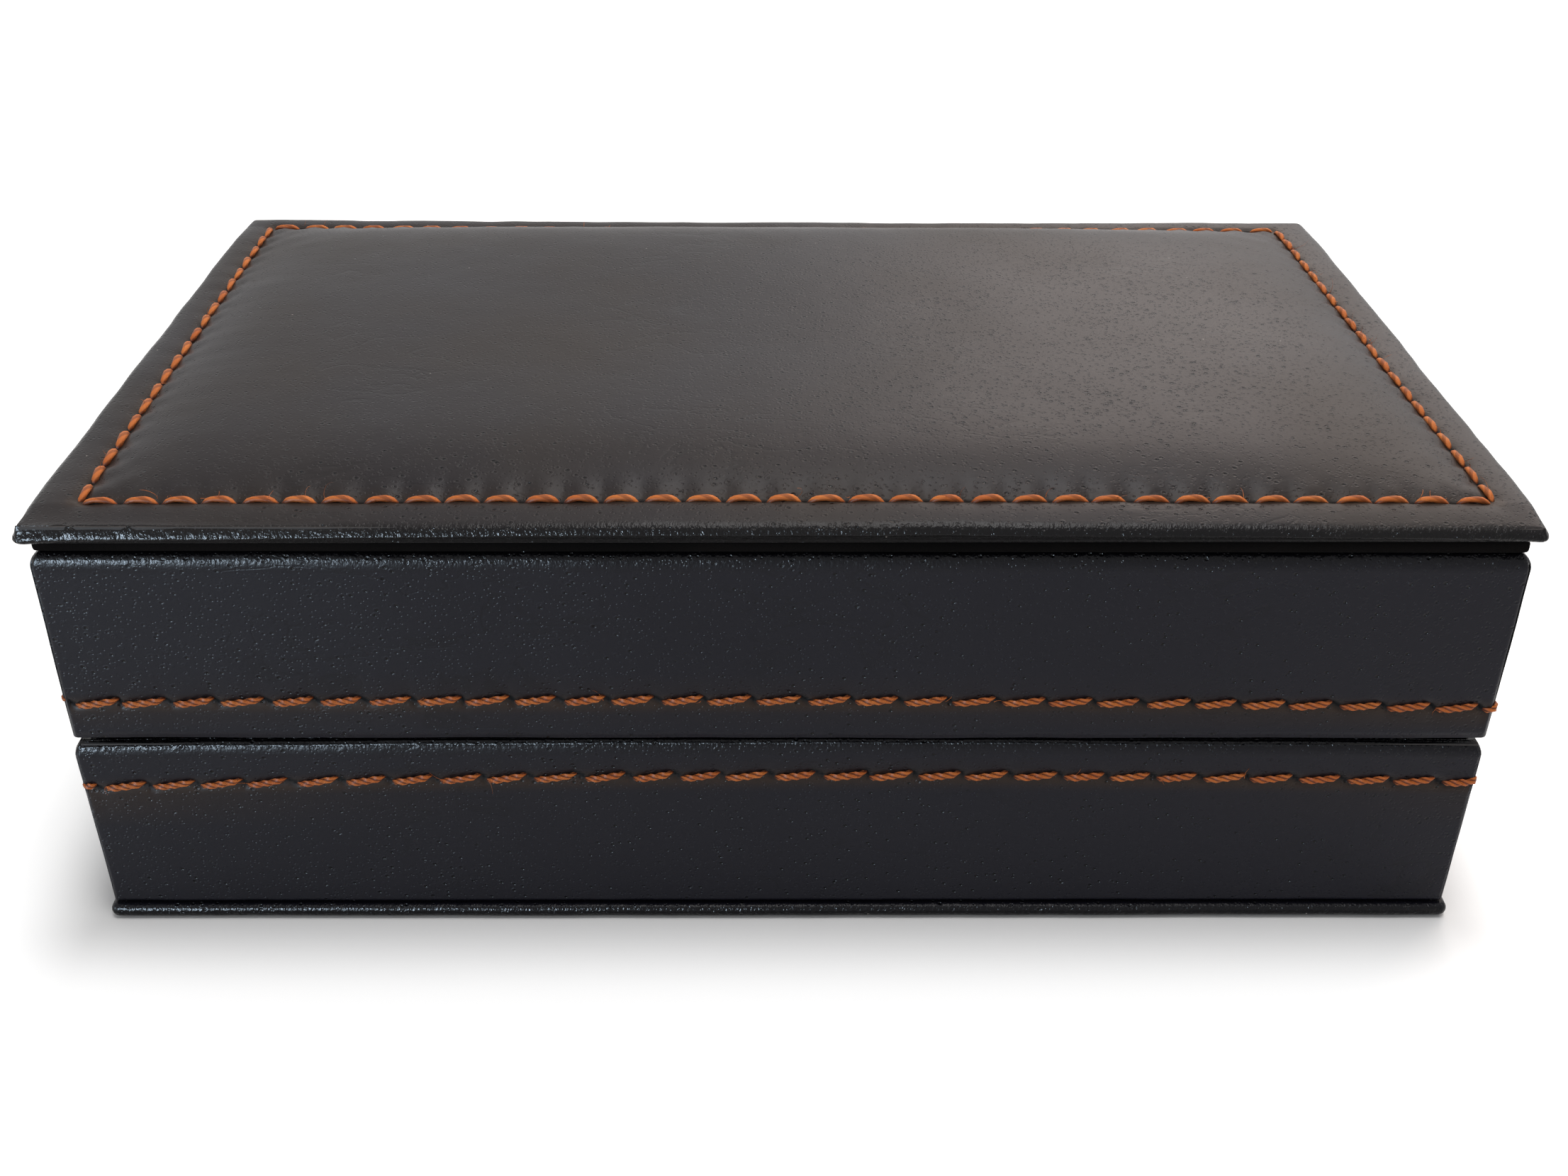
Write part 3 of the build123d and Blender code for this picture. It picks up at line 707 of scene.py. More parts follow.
def fray(pattern, spots, seed):
    """Copies of a fibre that curl up from spots, each with its outward direction."""
    draw = random.Random(seed)
    base = coords(pattern)
    hairs = []
    for number, (spot, out) in enumerate(spots):
        aim = Vector([draw.uniform(-1, 1) for _ in range(3)]) + 0.7 * Vector(out)
        aim.normalize()
        side = aim.orthogonal().normalized()
        side = Matrix.Rotation(draw.uniform(0, 2 * math.pi), 3, aim) @ side
        length, thick = draw.uniform(1.0, 3.4) * MM, draw.uniform(0.028, 0.045) * MM
        bend = draw.uniform(0.5, 2.4)
        points = np.empty_like(base)
        for index, (t, a, b) in enumerate(base):
            angle = bend * t
            run = length * math.sin(angle) / bend
            rise = length * (1 - math.cos(angle)) / bend
            taper = thick * (1 - 0.6 * t)
            curl, width = side * (rise + a * taper), aim.cross(side) * b * taper
            points[index] = Vector(spot) + aim * run + curl + width
        hair = duplicate(pattern, f"hair_{seed}_{number}")
        set_coords(hair, points)
        hairs.append(hair)
    return hairs


def sew(name, pattern, places, lay, hairs=()):
    """Copies a stitch along a row and joins the copies. Lay turns (centre, half, points) into places."""
    base = coords(pattern)
    copies = list(hairs)
    for number, (centre, half) in enumerate(places):
        copy = duplicate(pattern, f"{name}_{number}")
        set_coords(copy, lay(centre, half, base))
        copies.append(copy)
    return join(copies, name)


def lay_on_wall(walls, line, seed):
    """How a slanted stitch lies on a wall: low at its left end, high at its right end."""
    draw = random.Random(seed)
    thread = sizes().thread

    def lay(centre, half, base):
        slant = math.tan(math.radians(TIER_SLANT + draw.uniform(-1.5, 1.5)))
        thick = thread * draw.uniform(0.94, 1.08)
        points = np.empty_like(base)
        for index, (along, across, out) in enumerate(base):
            spot, outward = wall_point(centre + along * 2 * half, *walls)
            arch = 1 - abs(2 * along) ** 4
            proud = (0.62 * arch - 0.46) * thread + out * thick * 0.85
            height = level(line, spot.x) + across * thick + slant * along * 2 * half
            points[index] = (spot.x + outward.x * proud, spot.y + outward.y * proud, height)
        return points

    return lay


def hump(value, width):
    """A smooth hump, 1 at zero."""
    return np.exp(-((value / width) ** 2))


def seam_relief(along, across, places, slant):
    """How far the leather is pulled in beside a row of stitches, and how much of a spot is needle hole."""
    centres, halves = np.array(places).T
    nearest = np.abs(along[:, None] - centres).argmin(1)
    offset, half = along - centres[nearest], halves[nearest]
    bed = hump(across - slant * offset, 0.75 * MM) * (np.abs(offset) < half + 0.3 * MM)
    starts, ends = centres[:-1] + halves[:-1], centres[1:] - halves[1:]
    gap = np.abs(along[:, None] - (starts + ends) / 2).argmin(1)
    ax, ay = starts[gap] - 0.15 * MM, slant * halves[:-1][gap]
    bx, by = ends[gap] + 0.15 * MM, -slant * halves[1:][gap]
    share = ((along - ax) * (bx - ax) + (across - ay) * (by - ay)) / ((bx - ax) ** 2 + (by - ay) ** 2)
    share = np.clip(share, 0, 1)
    away = np.hypot(along - ax - share * (bx - ax), across - ay - share * (by - ay))
    hole = hump(away, 0.5 * MM)
    dip = np.maximum(sizes().seam_depth * 0.7 * bed, sizes().hole_depth * hole)
    return dip, np.clip(1.5 * hole - 0.25, 0, 1)


def seam_cuts(places, low, high):
    """Mesh lines across a row that follow its stitches and needle holes."""
    cuts = []
    for centre, half in places:
        offsets = (half + 0.25 * MM, half - 0.4 * MM, half / 2)
        cuts += [centre + side * offset for side in (-1, 1) for offset in offsets] + [centre]
    return [cut for cut in sorted(cuts) if low < cut < high]


def line_cuts(line):
    """Mesh lines along a row, over the heights that its stitches reach."""
    base, rise, tilt = line
    step = 0.45 * MM
    return steps(base - abs(tilt) - 1.6 * MM, base + rise + 1.6 * MM, step)


def press_walls(piece, rows, skin):
    """Presses the stitch rows into the outer faces of a wrapped wall, and finds their stains and holes."""
    points = coords(piece)
    half_x, half_y, radius = CASE_WALLS
    x, y, z = points.T
    quarter = half_x - radius + radius * math.pi / 2
    side_span = 2 * (half_y - radius) + radius * math.pi / 2
    total = wall_length(*CASE_WALLS)
    near, row_reach, end_reach = 0.02 * MM, 3.2 * MM, 4 * MM
    faces = (
        (np.abs(y + skin[1]) < near, x, (0, 1)),
        (np.abs(x - skin[0]) < near, quarter + y + half_y - radius, (-1, 0)),
        (np.abs(y - half_y) < near, quarter + side_span + half_x - radius - x, (0, -1)),
        (np.abs(x + skin[0]) < near, total - quarter - (y + half_y - radius), (1, 0)),
    )
    stain, hole = np.zeros(len(points)), np.zeros(len(points))
    out = points.copy()
    for here, along, inward in faces:
        for line, places, ring in rows:
            across = z - level(line, x)
            where = along
            if ring:
                before = [(centre - total, half) for centre, half in places[-3:]]
                after = [(centre + total, half) for centre, half in places[:3]]
                places = before + places + after
                where = np.where(along > places[-4][0] + end_reach, along - total, along)
            spots = here & (np.abs(across) < row_reach)
            spots &= (where > places[0][0] - end_reach) & (where < places[-1][0] + end_reach)
            slant = math.tan(math.radians(TIER_SLANT))
            dip, dark = seam_relief(where[spots], across[spots], places, slant)
            out[spots, 0] += inward[0] * dip
            out[spots, 1] += inward[1] * dip
            hole[spots] = np.maximum(hole[spots], dark)
            stain[spots] = np.maximum(stain[spots], 0.75 * hump(across[spots] + 0.6 * MM, 1.3 * MM))
    return out, stain, hole


def edge_roll(points, top):
    """How much each point belongs to the rolled upper edge."""
    return np.clip(1 - (top - points[:, 2]) / ROLL_SHINE, 0, 1)


def round_top(points, half_x, half_y, top):
    """Leans a wall's upper edge inward to a soft roll."""
    share = np.clip((points[:, 2] - top + ROLL_REACH) / ROLL_REACH, 0, 1)
    wanted, wide = ROLL_DEPTH * share**2, 2.6 * MM
    rolled = points.copy()
    for axis, half in ((0, half_x), (1, half_y)):
        depth = half - np.abs(points[:, axis])
        closer = half - wanted - depth * (1 - wanted / wide)
        rolled[:, axis] = np.where(depth < wide, np.sign(points[:, axis]) * closer, points[:, axis])
    return rolled


# ---- Operators ----
class BOX_OT_stage(bpy.types.Operator):
    """Pale floor, soft studio light and the camera at the photograph's view. The left window only shines"""
    bl_idname = "box.stage"
    bl_label = "Stage"

    def execute(self, context):
        self.floor()
        self.world(context)
        self.lamps()
        self.camera(context)
        return {"FINISHED"}

    def floor(self):
        """Pale floor that turns white away from the box, where it is seen; its glow fades to nothing at the
        base's footprint, a painted contact shadow.
        """
        bpy.ops.mesh.primitive_plane_add(size=8, location=(0, 0, 0))
        floor = bpy.context.object
        floor.name = "floor"
        nodes, surface = shader("pale_floor", Roughness=0.9, Specular_IOR_Level=0.1, Base_Color=FLOOR_COLOUR,
                                Emission_Color=(1, 1, 1, 1))
        place = nodes.place()
        beside = nodes.vector("ABSOLUTE", place)[0]
        beside = nodes.vector("SUBTRACT", beside, (BASE_HIGH.x, BASE_HIGH.y, 0))[0]
        beside = nodes.vector("LENGTH", nodes.vector("MAXIMUM", beside, (0, 0, 0))[0])["Value"]
        away = nodes.vector("LENGTH", place)["Value"]
        # No glow at the base's footprint, rising over 16 mm from it: a painted contact shadow.
        near = nodes.ramp(beside, -0.003, 0.016, 0.0, FLOOR_GLOW)
        far = nodes.ramp(away, 0.12, 0.9, 0.0, FLOOR_GLOW)
        nodes.feed(surface, {"Emission Strength": nodes.times(nodes.seen(), nodes.maths("ADD", near, far))})
        floor.data.materials.append(bpy.data.materials["pale_floor"])

    def world(self, context):
        """White where it is seen, plain in its light."""
        world = bpy.data.worlds.new("studio")
        context.scene.world = world
        world.use_nodes = True
        world.node_tree.nodes.clear()
        nodes = Nodes(world.node_tree)
        strength = nodes.maths("MAXIMUM", nodes.seen(), PLAIN_LEVEL)
        sky = nodes.add("ShaderNodeBackground", {"Color": (1, 1, 1, 1), "Strength": strength})
        nodes.add("ShaderNodeOutputWorld", {"Surface": sky.outputs["Background"]})

    def lamps(self):
        """Area lamps, turned to the box and hidden from the camera."""
        for name, place, size, power, colour in LAMPS:
            bpy.ops.object.light_add(type="AREA", location=place)
            lamp = bpy.context.object
            lamp.name = name
            lamp.rotation_euler = (LAMP_AIM - Vector(place)).to_track_quat("-Z", "Y").to_euler()
            lamp.data.shape = "RECTANGLE"
            lamp.data.size, lamp.data.size_y = size
            lamp.data.energy = power
            lamp.data.color = colour
            lamp.visible_diffuse = name != "left_window"
            lamp.visible_camera = False

    def camera(self, context):
        """Camera at the photograph's view."""
        pitch, yaw, roll = (math.radians(turn) for turn in (CAMERA_PITCH, CAMERA_YAW, CAMERA_ROLL))
        bpy.ops.object.camera_add(location=CAMERA_PLACE)
        camera = context.object
        turn = Matrix.Rotation(-yaw, 3, "Z") @ Matrix.Rotation(math.pi / 2 - pitch, 3, "X")
        camera.rotation_euler = (turn @ Matrix.Rotation(roll, 3, "Z")).to_euler()
        camera.data.sensor_width = SENSOR_WIDTH
        camera.data.lens = SENSOR_WIDTH * FOCAL_PIXELS / PHOTO_WIDTH
        camera.data.clip_start = 0.01
        context.scene.camera = camera


def lid_seam_box():
    """The lid's seam lines: x of the sides, and y of the front and back."""
    set_sizes = sizes()
    return (LID_HIGH.x - set_sizes.inset_side, LID_LOW.y + set_sizes.inset_front,
            LID_HIGH.y - set_sizes.inset_back)


def lid_top():
    """Height of the lid's flat margin."""
    return LID_LOW.z + sizes().lid_edge


def corner_distance(x, from_edge):
    """Distance from the nearer corner of the lid, of points that far from its front or back edge."""
    return np.clip(LID_HIGH.x - np.abs(x), 0, None) + np.clip(from_edge, 0, None)


def lean(points):
    """The lid's side seams lean a little, as sewn by hand: left out at the back, right out at the front."""
    side, front, back = lid_seam_box()
    x, y = points[:, 0], points[:, 1]
    weight = np.where(np.abs(x) < side, np.abs(x) / side, (LID_HIGH.x - np.abs(x)) / (LID_HIGH.x - side))
    share = np.clip((y - front) / (back - front), 0, 1)
    left = 1.5 * (1 - share) * MM
    right = (-0.15 - 1.35 * share) * MM
    moved = points.copy()
    moved[:, 0] += np.clip(weight, 0, 1) * np.where(x < 0, left, right)
    inside = np.clip((y - LID_LOW.y) / (4 * MM), 0, 1)
    moved[:, 1] += inside * (1 - share) ** 3 * 0.7 * MM * (x / side) ** 2
    return moved


def lift(points):
    """The lid's front edge rises in the middle and droops to its pointed corners, and its back lies lower."""
    x, y, z = points.T
    share = x / LID_HIGH.x
    to_edge = edge_distance(points, *LID_EDGES)
    under = (z < LID_LOW.z + 0.1 * MM) * np.clip(to_edge / (3 * MM), 0, 1)
    front = np.clip(-y / LID_HIGH.y, 0, 1) ** 2 * (0.85 - 1.0 * share**2 + 0.3 * share)
    _, front_seam, back_seam = lid_seam_box()
    corner = corner_distance(x, y - LID_LOW.y)
    sink = -0.2 * np.clip(front_seam - y, 0, None) * np.clip((z - LID_LOW.z) / (1.8 * MM), 0, 1)
    sink *= 1 - 0.8 * np.exp(-corner / (9 * MM))
    back = np.clip((y - back_seam + 10 * MM) / (10 * MM), 0, 1) ** 2 * (0.25 * share**2 - 0.6)
    back = back * (z > LID_LOW.z + 1 * MM)
    tip = np.exp(-corner / (2.2 * MM))
    droop = -0.6 * np.exp(-corner / (5 * MM))
    moved = points.copy()
    moved[:, 2] += (front + back + droop) * MM * (1 - under) + sink
    middle = LID_LOW.z + 0.9 * MM
    moved[:, 2] -= np.clip(z - middle, -2 * MM, 2 * MM) * 0.35 * tip
    moved[:, 0] += np.sign(x) * 0.4 * MM * tip
    moved[:, 1] -= 0.25 * MM * tip
    rear = np.exp(-corner_distance(x, LID_HIGH.y - y) / (2.5 * MM))
    moved[:, 0] -= np.sign(x) * 0.45 * MM * rear
    moved[:, 1] -= 0.45 * MM * rear
    return moved


def lid_rows():
    """The lid's four seams: start, heading, length and stitches of each. Facing seams mirror each other."""
    side, front, back = lid_seam_box()
    corners = [(-side, front), (side, front), (side, back), (-side, back)]
    rows = []
    for number, start in enumerate(corners):
        end = corners[(number + 1) % 4]
        span = Vector(end) - Vector(start)
        count = round(span.length / sizes().lid_pitch)
        pitch = span.length / count
        places = seam(pitch / 2, pitch, count, min(sizes().lid_stitch, pitch * 0.94), 11 + number % 2)
        if number > 1:
            places = [(span.length - centre, half) for centre, half in reversed(places)]
        rows.append((Vector(start), span.normalized(), span.length, places))
    return rows


class BOX_OT_lid(bpy.types.Operator):
    """Leather lid: rolled edge, padded field swelled by cloth pressure, and a seam pulled in round it"""
    bl_idname = "box.lid"
    bl_label = "Lid leather"

    def execute(self, context):
        pad = self.pad()
        lid = self.shell()
        self.cover_pad(lid, pad)
        self.press_seam(lid)
        shade(lid, 60)
        dress(lid, "lid_leather", "lid", "leather", "lid_leather", "lid_foam")
        return {"FINISHED"}

    def pad(self):
        """The foam's upper skin, held at the seam and swelled."""
        side, front, back = lid_seam_box()
        top = lid_top()
        pad = block("pad_skin", (-side, front, top - 1.2 * MM), (side, back, top))
        slice_evenly(pad, (-side, front), (side, back), 0, 2.6 * MM)
        points = coords(pad)
        reach = edge_distance(points, side, front, back)
        inside = (reach > 0.01 * MM) & (points[:, 2] > top - 0.1 * MM)
        crown = LID_HIGH.z - top + 0.8 * MM
        swell(pad, inside, cap=crown, soft=1.7 * MM, direction=(0, 0, 1))
        subdivide_smoothly(pad)
        return pad

    def shell(self):
        """The closed leather shell, flat on top, with fine mesh lines."""
        edge = sizes().lid_edge
        lid = block("lid_cover", LID_LOW, (LID_HIGH.x, LID_HIGH.y, lid_top()))
        edit(lid, "EDGE")
        pick_edges(lid, lambda a, b: abs(a.z - b.z) > edge / 2)
        bpy.ops.mesh.bevel(offset=sizes().lid_corner, segments=5, affect="EDGES")
        pick_edges(lid, lambda a, b: abs(a.z - b.z) < 1e-6 and (a.xy - b.xy).length < 1)
        bpy.ops.mesh.bevel(offset=edge * 0.47, segments=5, affect="EDGES")
        leave()
        side, front, back = lid_seam_box()
        near = (-1.6 * MM, -0.9 * MM, -0.35 * MM, 0.35 * MM, 0.9 * MM, 1.6 * MM)
        upper = lambda _, normal: normal.z > -0.5
        under = lambda _, normal: normal.z < -0.5
        across = [cut - side for cut in seam_cuts(lid_rows()[0][3], 2 * MM, 2 * side - 2 * MM)]
        across += [sign * (side + offset) for sign in (-1, 1) for offset in near + (0, 2.9 * MM)]
        along = [front + cut for cut in seam_cuts(lid_rows()[1][3], 2 * MM, back - front - 2 * MM)]
        along += [place + offset for place in (front, back) for offset in near + (0,)]
        along += [front - 3 * MM, front - 4.4 * MM, back + 2.6 * MM]
        slice_across(lid, 0, across, upper)
        slice_across(lid, 1, along, upper)
        slice_across(lid, 0, [LID_LOW.x + 3 * MM, LID_HIGH.x - 3 * MM], under)
        slice_across(lid, 1, [LID_LOW.y + 3 * MM, LID_HIGH.y - 3 * MM], under)
        return lid

    def cover_pad(self, lid, pad):
        """Lays the top of the shell on the swelled pad."""
        points = coords(lid)
        field = edge_distance(points, *lid_seam_box()) > 0.05 * MM
        hold(lid, "field", field & (points[:, 2] > points[:, 2].max() - 0.05 * MM))
        wrap = modifier(lid, "SHRINKWRAP", target=pad, vertex_group="field", wrap_method="PROJECT",
                        use_project_z=True, use_positive_direction=True, use_negative_direction=False)
        bpy.ops.object.modifier_apply(modifier=wrap.name)
        lid.vertex_groups.clear()
        bpy.data.objects.remove(pad)

    def press_seam(self, lid):
        """Pulls the seam in, rounds the margin outside it, and gives the lid its lean and lift."""
        inset = sizes().inset_side
        points = coords(lid)
        upper = points[:, 2] > lid_top() - 0.4 * MM
        dip, pucker, stain, hole = np.zeros((4, len(points)))
        for start, heading, length, places in lid_rows():
            spot = points[:, :2] - np.array(start)
            along = spot @ np.array(heading)
            across = spot[:, 1] * heading.x - spot[:, 0] * heading.y
            here = upper & (np.abs(across) < 6 * MM) & (along > -1 * MM) & (along < length + 1 * MM)
            pressed, dark = seam_relief(along[here], across[here], places, 0.0)
            dip[here] = np.maximum(dip[here], pressed)
            hole[here] = np.maximum(hole[here], dark)
            centres, halves = np.array(places).T
            nearest = np.abs(along[:, None] - centres).argmin(1)
            wave = np.cos(math.pi * (along - centres[nearest]) / (halves[nearest] + 0.2 * MM))
            fade = hump(np.abs(across) - 1.5 * MM, 1.4 * MM)
            inside = np.where(across > 0, 0.2, 0.03) * MM
            pucker[here] += (inside * wave * fade)[here]
            stain[here] = np.maximum(stain[here], 0.6 * hump(across[here], 1.2 * MM))
        moved = points.copy()
        moved[:, 2] += pucker - dip
        to_edge = edge_distance(points, *LID_EDGES)
        margin = upper & (to_edge < inset - 0.2 * MM)
        moved[:, 2] += np.where(margin, 0.22 * MM * np.sin(np.clip(to_edge / (5.2 * MM), 0, 1) * math.pi), 0)
        soft = (points[:, 2] > LID_LOW.z + 0.1 * MM)[:, None]
        field = np.clip((to_edge - inset) / (12 * MM), 0, 1)[:, None]
        moved += field * unevenness(points, (45, 0.28, 9))
        moved += soft * (1 - 0.6 * field) * unevenness(points, (14, 0.15, 1), (4, 0.06, 2))
        roll = np.clip(1 - (to_edge - 0.3 * MM) / (1.3 * MM), 0, 1) * (points[:, 2] > LID_LOW.z + 0.3 * MM)
        moved = lift(lean(moved))
        board_low, board_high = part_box("lid_board")
        over = upper & (np.abs(moved[:, 0]) < board_high.x + 0.1 * MM)
        over &= (moved[:, 1] > board_low.y - 0.1 * MM) & (moved[:, 1] < board_high.y + 0.1 * MM)
        moved[:, 2] = np.where(over, np.maximum(moved[:, 2], board_high.z + 0.05 * MM), moved[:, 2])
        set_coords(lid, moved)
        paint(lid, roll=roll, stain=stain, hole=hole)


class BOX_OT_case(bpy.types.Operator):
    """Leather wrapped round the tray and the drawer's housing, with its stitch rows pulled in"""
    bl_idname = "box.case"
    bl_label = "Case leather"

    def execute(self, context):
        case = copy_of("case_leather", "case_wrap")
        step = sizes().mesh_step
        low, high = CASE_LOW, CASE_HIGH
        is_front = lambda place, normal: normal.y < -0.9 and place.y < low.y + 0.1 * MM
        is_back = lambda place, normal: normal.y > 0.9 and place.y > high.y - 0.1 * MM
        is_side = lambda place, normal: abs(normal.x) > 0.9 and abs(place.x) > high.x - 0.1 * MM
        is_rim = lambda place, normal: place.z > high.z - 1.2 * MM
        heights = line_cuts(TRAY_LINE) + line_cuts(DRAWER_LINE) + WALL_LINES
        heights += [high.z - depth for depth in EDGE_LINES]
        for face in (is_front, is_back, is_side):
            slice_across(case, 2, heights, face)
        corner = 2.4 * MM
        wide = steps(low.x + corner, high.x - corner, step)
        deep = steps(low.y + corner, high.y - corner, step)
        slice_across(case, 0, seam_cuts(tray_seam(), low.x + 1.2 * MM, high.x - 1.2 * MM), is_front)
        cuts = ((0, wide, is_back), (0, wide, is_rim), (1, deep, is_side), (1, deep, is_rim))
        for axis, places, face in cuts:
            slice_across(case, axis, places, face)
        rows = ((TRAY_LINE, tray_seam(), True), (DRAWER_LINE, housing_seam(), False))
        moved, stain, hole = press_walls(case, rows, (high.x, high.y))
        points = coords(case)
        skin = 1.3 * MM
        outer = (np.abs(points[:, 0]) > high.x - skin) | (np.abs(points[:, 1]) > high.y - skin)
        moved += outer[:, None] * unevenness(points, (16, 0.1, 4), (4, 0.04, 5))
        set_coords(case, round_top(moved, high.x, high.y, high.z))
        paint(case, roll=edge_roll(points, high.z), stain=stain, hole=hole)
        shade(case, 50)
        dress(case, "case_leather", "case", "leather", "case_leather")
        return {"FINISHED"}


class BOX_OT_drawer_front(bpy.types.Operator):
    """Leather of the drawer front, its upper edge a little higher in the middle"""
    bl_idname = "box.drawer_front"
    bl_label = "Drawer front leather"

    def execute(self, context):
        front = copy_of("drawer_front_leather", "drawer_front_wrap")
        low, high = DRAWER_LOW, DRAWER_HIGH
        outside = lambda place, normal: normal.y < 0.5
        slice_across(front, 2, line_cuts(DRAWER_LINE) + FRONT_LINES, outside)
        slice_across(front, 2, [high.z - depth for depth in EDGE_LINES], outside)
        slice_across(front, 0, seam_cuts(drawer_seam(), low.x + 1.2 * MM, high.x - 1.2 * MM), outside)
        rows = ((DRAWER_LINE, drawer_seam(), False),)
        moved, stain, hole = press_walls(front, rows, (high.x, -low.y))
        points = coords(front)
        height = (points[:, 2] - low.z) / (high.z - low.z)
        share = points[:, 0] / high.x
        moved = round_top(moved, high.x, -low.y, high.z)
        moved[:, 2] += np.clip(2 * height - 1, 0, 1) * (0.3 - 0.8 * share**2) * MM
        flare = np.clip(np.abs(share) * 12 - 11, 0, 1) * np.where(share < 0, 0.55, 0.15)
        flare *= 0.35 + 0.65 * height**2
        moved[:, 0] += np.sign(share) * flare * MM
        moved += unevenness(points, (16, 0.1, 6), (4, 0.04, 7))
        set_coords(front, moved)
        paint(front, roll=edge_roll(points, high.z), stain=stain, hole=hole)
        shade(front, 50)
        dress(front, "case_leather", "drawer", "leather", "drawer_front_leather")
        return {"FINISHED"}


class BOX_OT_base(bpy.types.Operator):
    """Rolled leather edge of the base board"""
    bl_idname = "box.base"
    bl_label = "Base leather"

    def execute(self, context):
        base = copy_of("base_leather", "base_wrap")
        slice_evenly(base, BASE_LOW, BASE_HIGH, 2.6 * MM, 2.6 * MM)
        points = coords(base)
        shift = unevenness(points, (9, 0.09, 8))
        shift[:, 2] *= 0.6
        to_edge = edge_distance(points, BASE_HIGH.x, BASE_LOW.y, BASE_HIGH.y)
        set_coords(base, points + shift)
        plain = np.zeros(len(points))
        paint(base, roll=np.clip(1 - to_edge / (1.5 * MM), 0, 1), stain=plain, hole=plain)
        shade(base, 50)
        dress(base, "case_leather", "case", "leather", "base_leather")
        return {"FINISHED"}


class BOX_OT_stitching(bpy.types.Operator):
    """Twisted waxed thread in every seam"""
    bl_idname = "box.stitching"
    bl_label = "Stitching"

    def execute(self, context):
        twisted, hair = one_stitch(plies=3, turns=1.35, depth=0.32, rings=11), one_hair()
        # Rows: name, CAD node, body, stitches, walls, line, fibres, and seeds of slants, spots and fibres.
        rows = (
            ("tray_stitches", "tray_stitching", "case",
             tray_seam(), CASE_WALLS, TRAY_LINE, 9, (21, 41, 51)),
            ("drawer_stitches", "drawer_stitching", "drawer",
             drawer_seam(), DRAWER_WALLS, DRAWER_LINE, 7, (22, 42, 52)),
            ("housing_stitches", "housing_stitching", "case",
             housing_seam(), CASE_WALLS, DRAWER_LINE, 0, (23, 43, 53)),
        )
        for name, node, body, places, walls, line, count, (slants, spots, fibres) in rows:
            hairs = fray(hair, self.wall_spots(places, line, count, spots), fibres)
            row = sew(name, twisted, places, lay_on_wall(walls, line, slants), hairs)
            dress(row, "waxed_thread", body, "thread", node)
        smooth = one_stitch(plies=2, turns=0.8, depth=0.16, rings=8)
        dress(self.lid_stitches(smooth, hair), "waxed_thread", "lid", "thread", "lid_stitching")
        for spent in (twisted, hair, smooth):
            bpy.data.objects.remove(spent)
        return {"FINISHED"}

    def wall_spots(self, places, line, count, seed):
        """Where fibres stand on a tier's front row."""
        draw = random.Random(seed)
        spots = []
        for centre, half in draw.sample([place for place in places if abs(place[0]) < 95 * MM], count):
            x = centre + draw.choice((-1, 1)) * half * 0.9
            spots.append(((x, CASE_LOW.y - 0.1 * MM, level(line, x)), (0, -1, 0)))
        return spots

    def lid_stitches(self, pattern, hair):
        """Arched stitches in the lid's seam."""
        draw = random.Random(31)
        top = lid_top()
        rows = []
        for number, (start, heading, _, places) in enumerate(lid_rows()):
            left = Vector((-heading.y, heading.x))

            def lay(centre, half, base, start=start, heading=heading, left=left):
                thick = sizes().thread * draw.uniform(0.98, 1.14)
                bow = draw.uniform(0.05, 0.35) * MM
                slant = draw.uniform(-0.02, 0.07)
                arch = 1 - np.abs(2 * base[:, 0]) ** 2.4
                along = centre + base[:, 0] * 2 * half
                across = base[:, 1] * thick + bow * (arch - 0.5) + slant * base[:, 0] * 2 * half
                points = np.empty_like(base)
                points[:, 0] = start.x + heading.x * along + left.x * across
                points[:, 1] = start.y + heading.y * along + left.y * across
                points[:, 2] = top + (0.72 * arch - 0.55) * MM + base[:, 2] * thick * 0.8
                return lift(lean(points))

            rows.append(sew(f"lid_row_{number}", pattern, places, lay))
        return join(rows + fray(hair, self.lid_spots(), 53), "lid_stitches")

    def lid_spots(self):
        """Where fibres stand in the lid's seams: most of them on the right side and along the front."""
        draw = random.Random(43)
        spots = []
        for number, count in ((1, 26), (0, 18), (3, 8), (2, 5)):
            start, heading, _, places = lid_rows()[number]
            for centre, half in draw.choices(places, k=count):
                spot = start + heading * (centre + draw.uniform(-1, 1) * half)
                level_point = np.array([[spot.x, spot.y, LID_LOW.z + 2.9 * MM]])
                spots.append((tuple(lift(lean(level_point))[0]), (0, 0, 1)))
        return spots


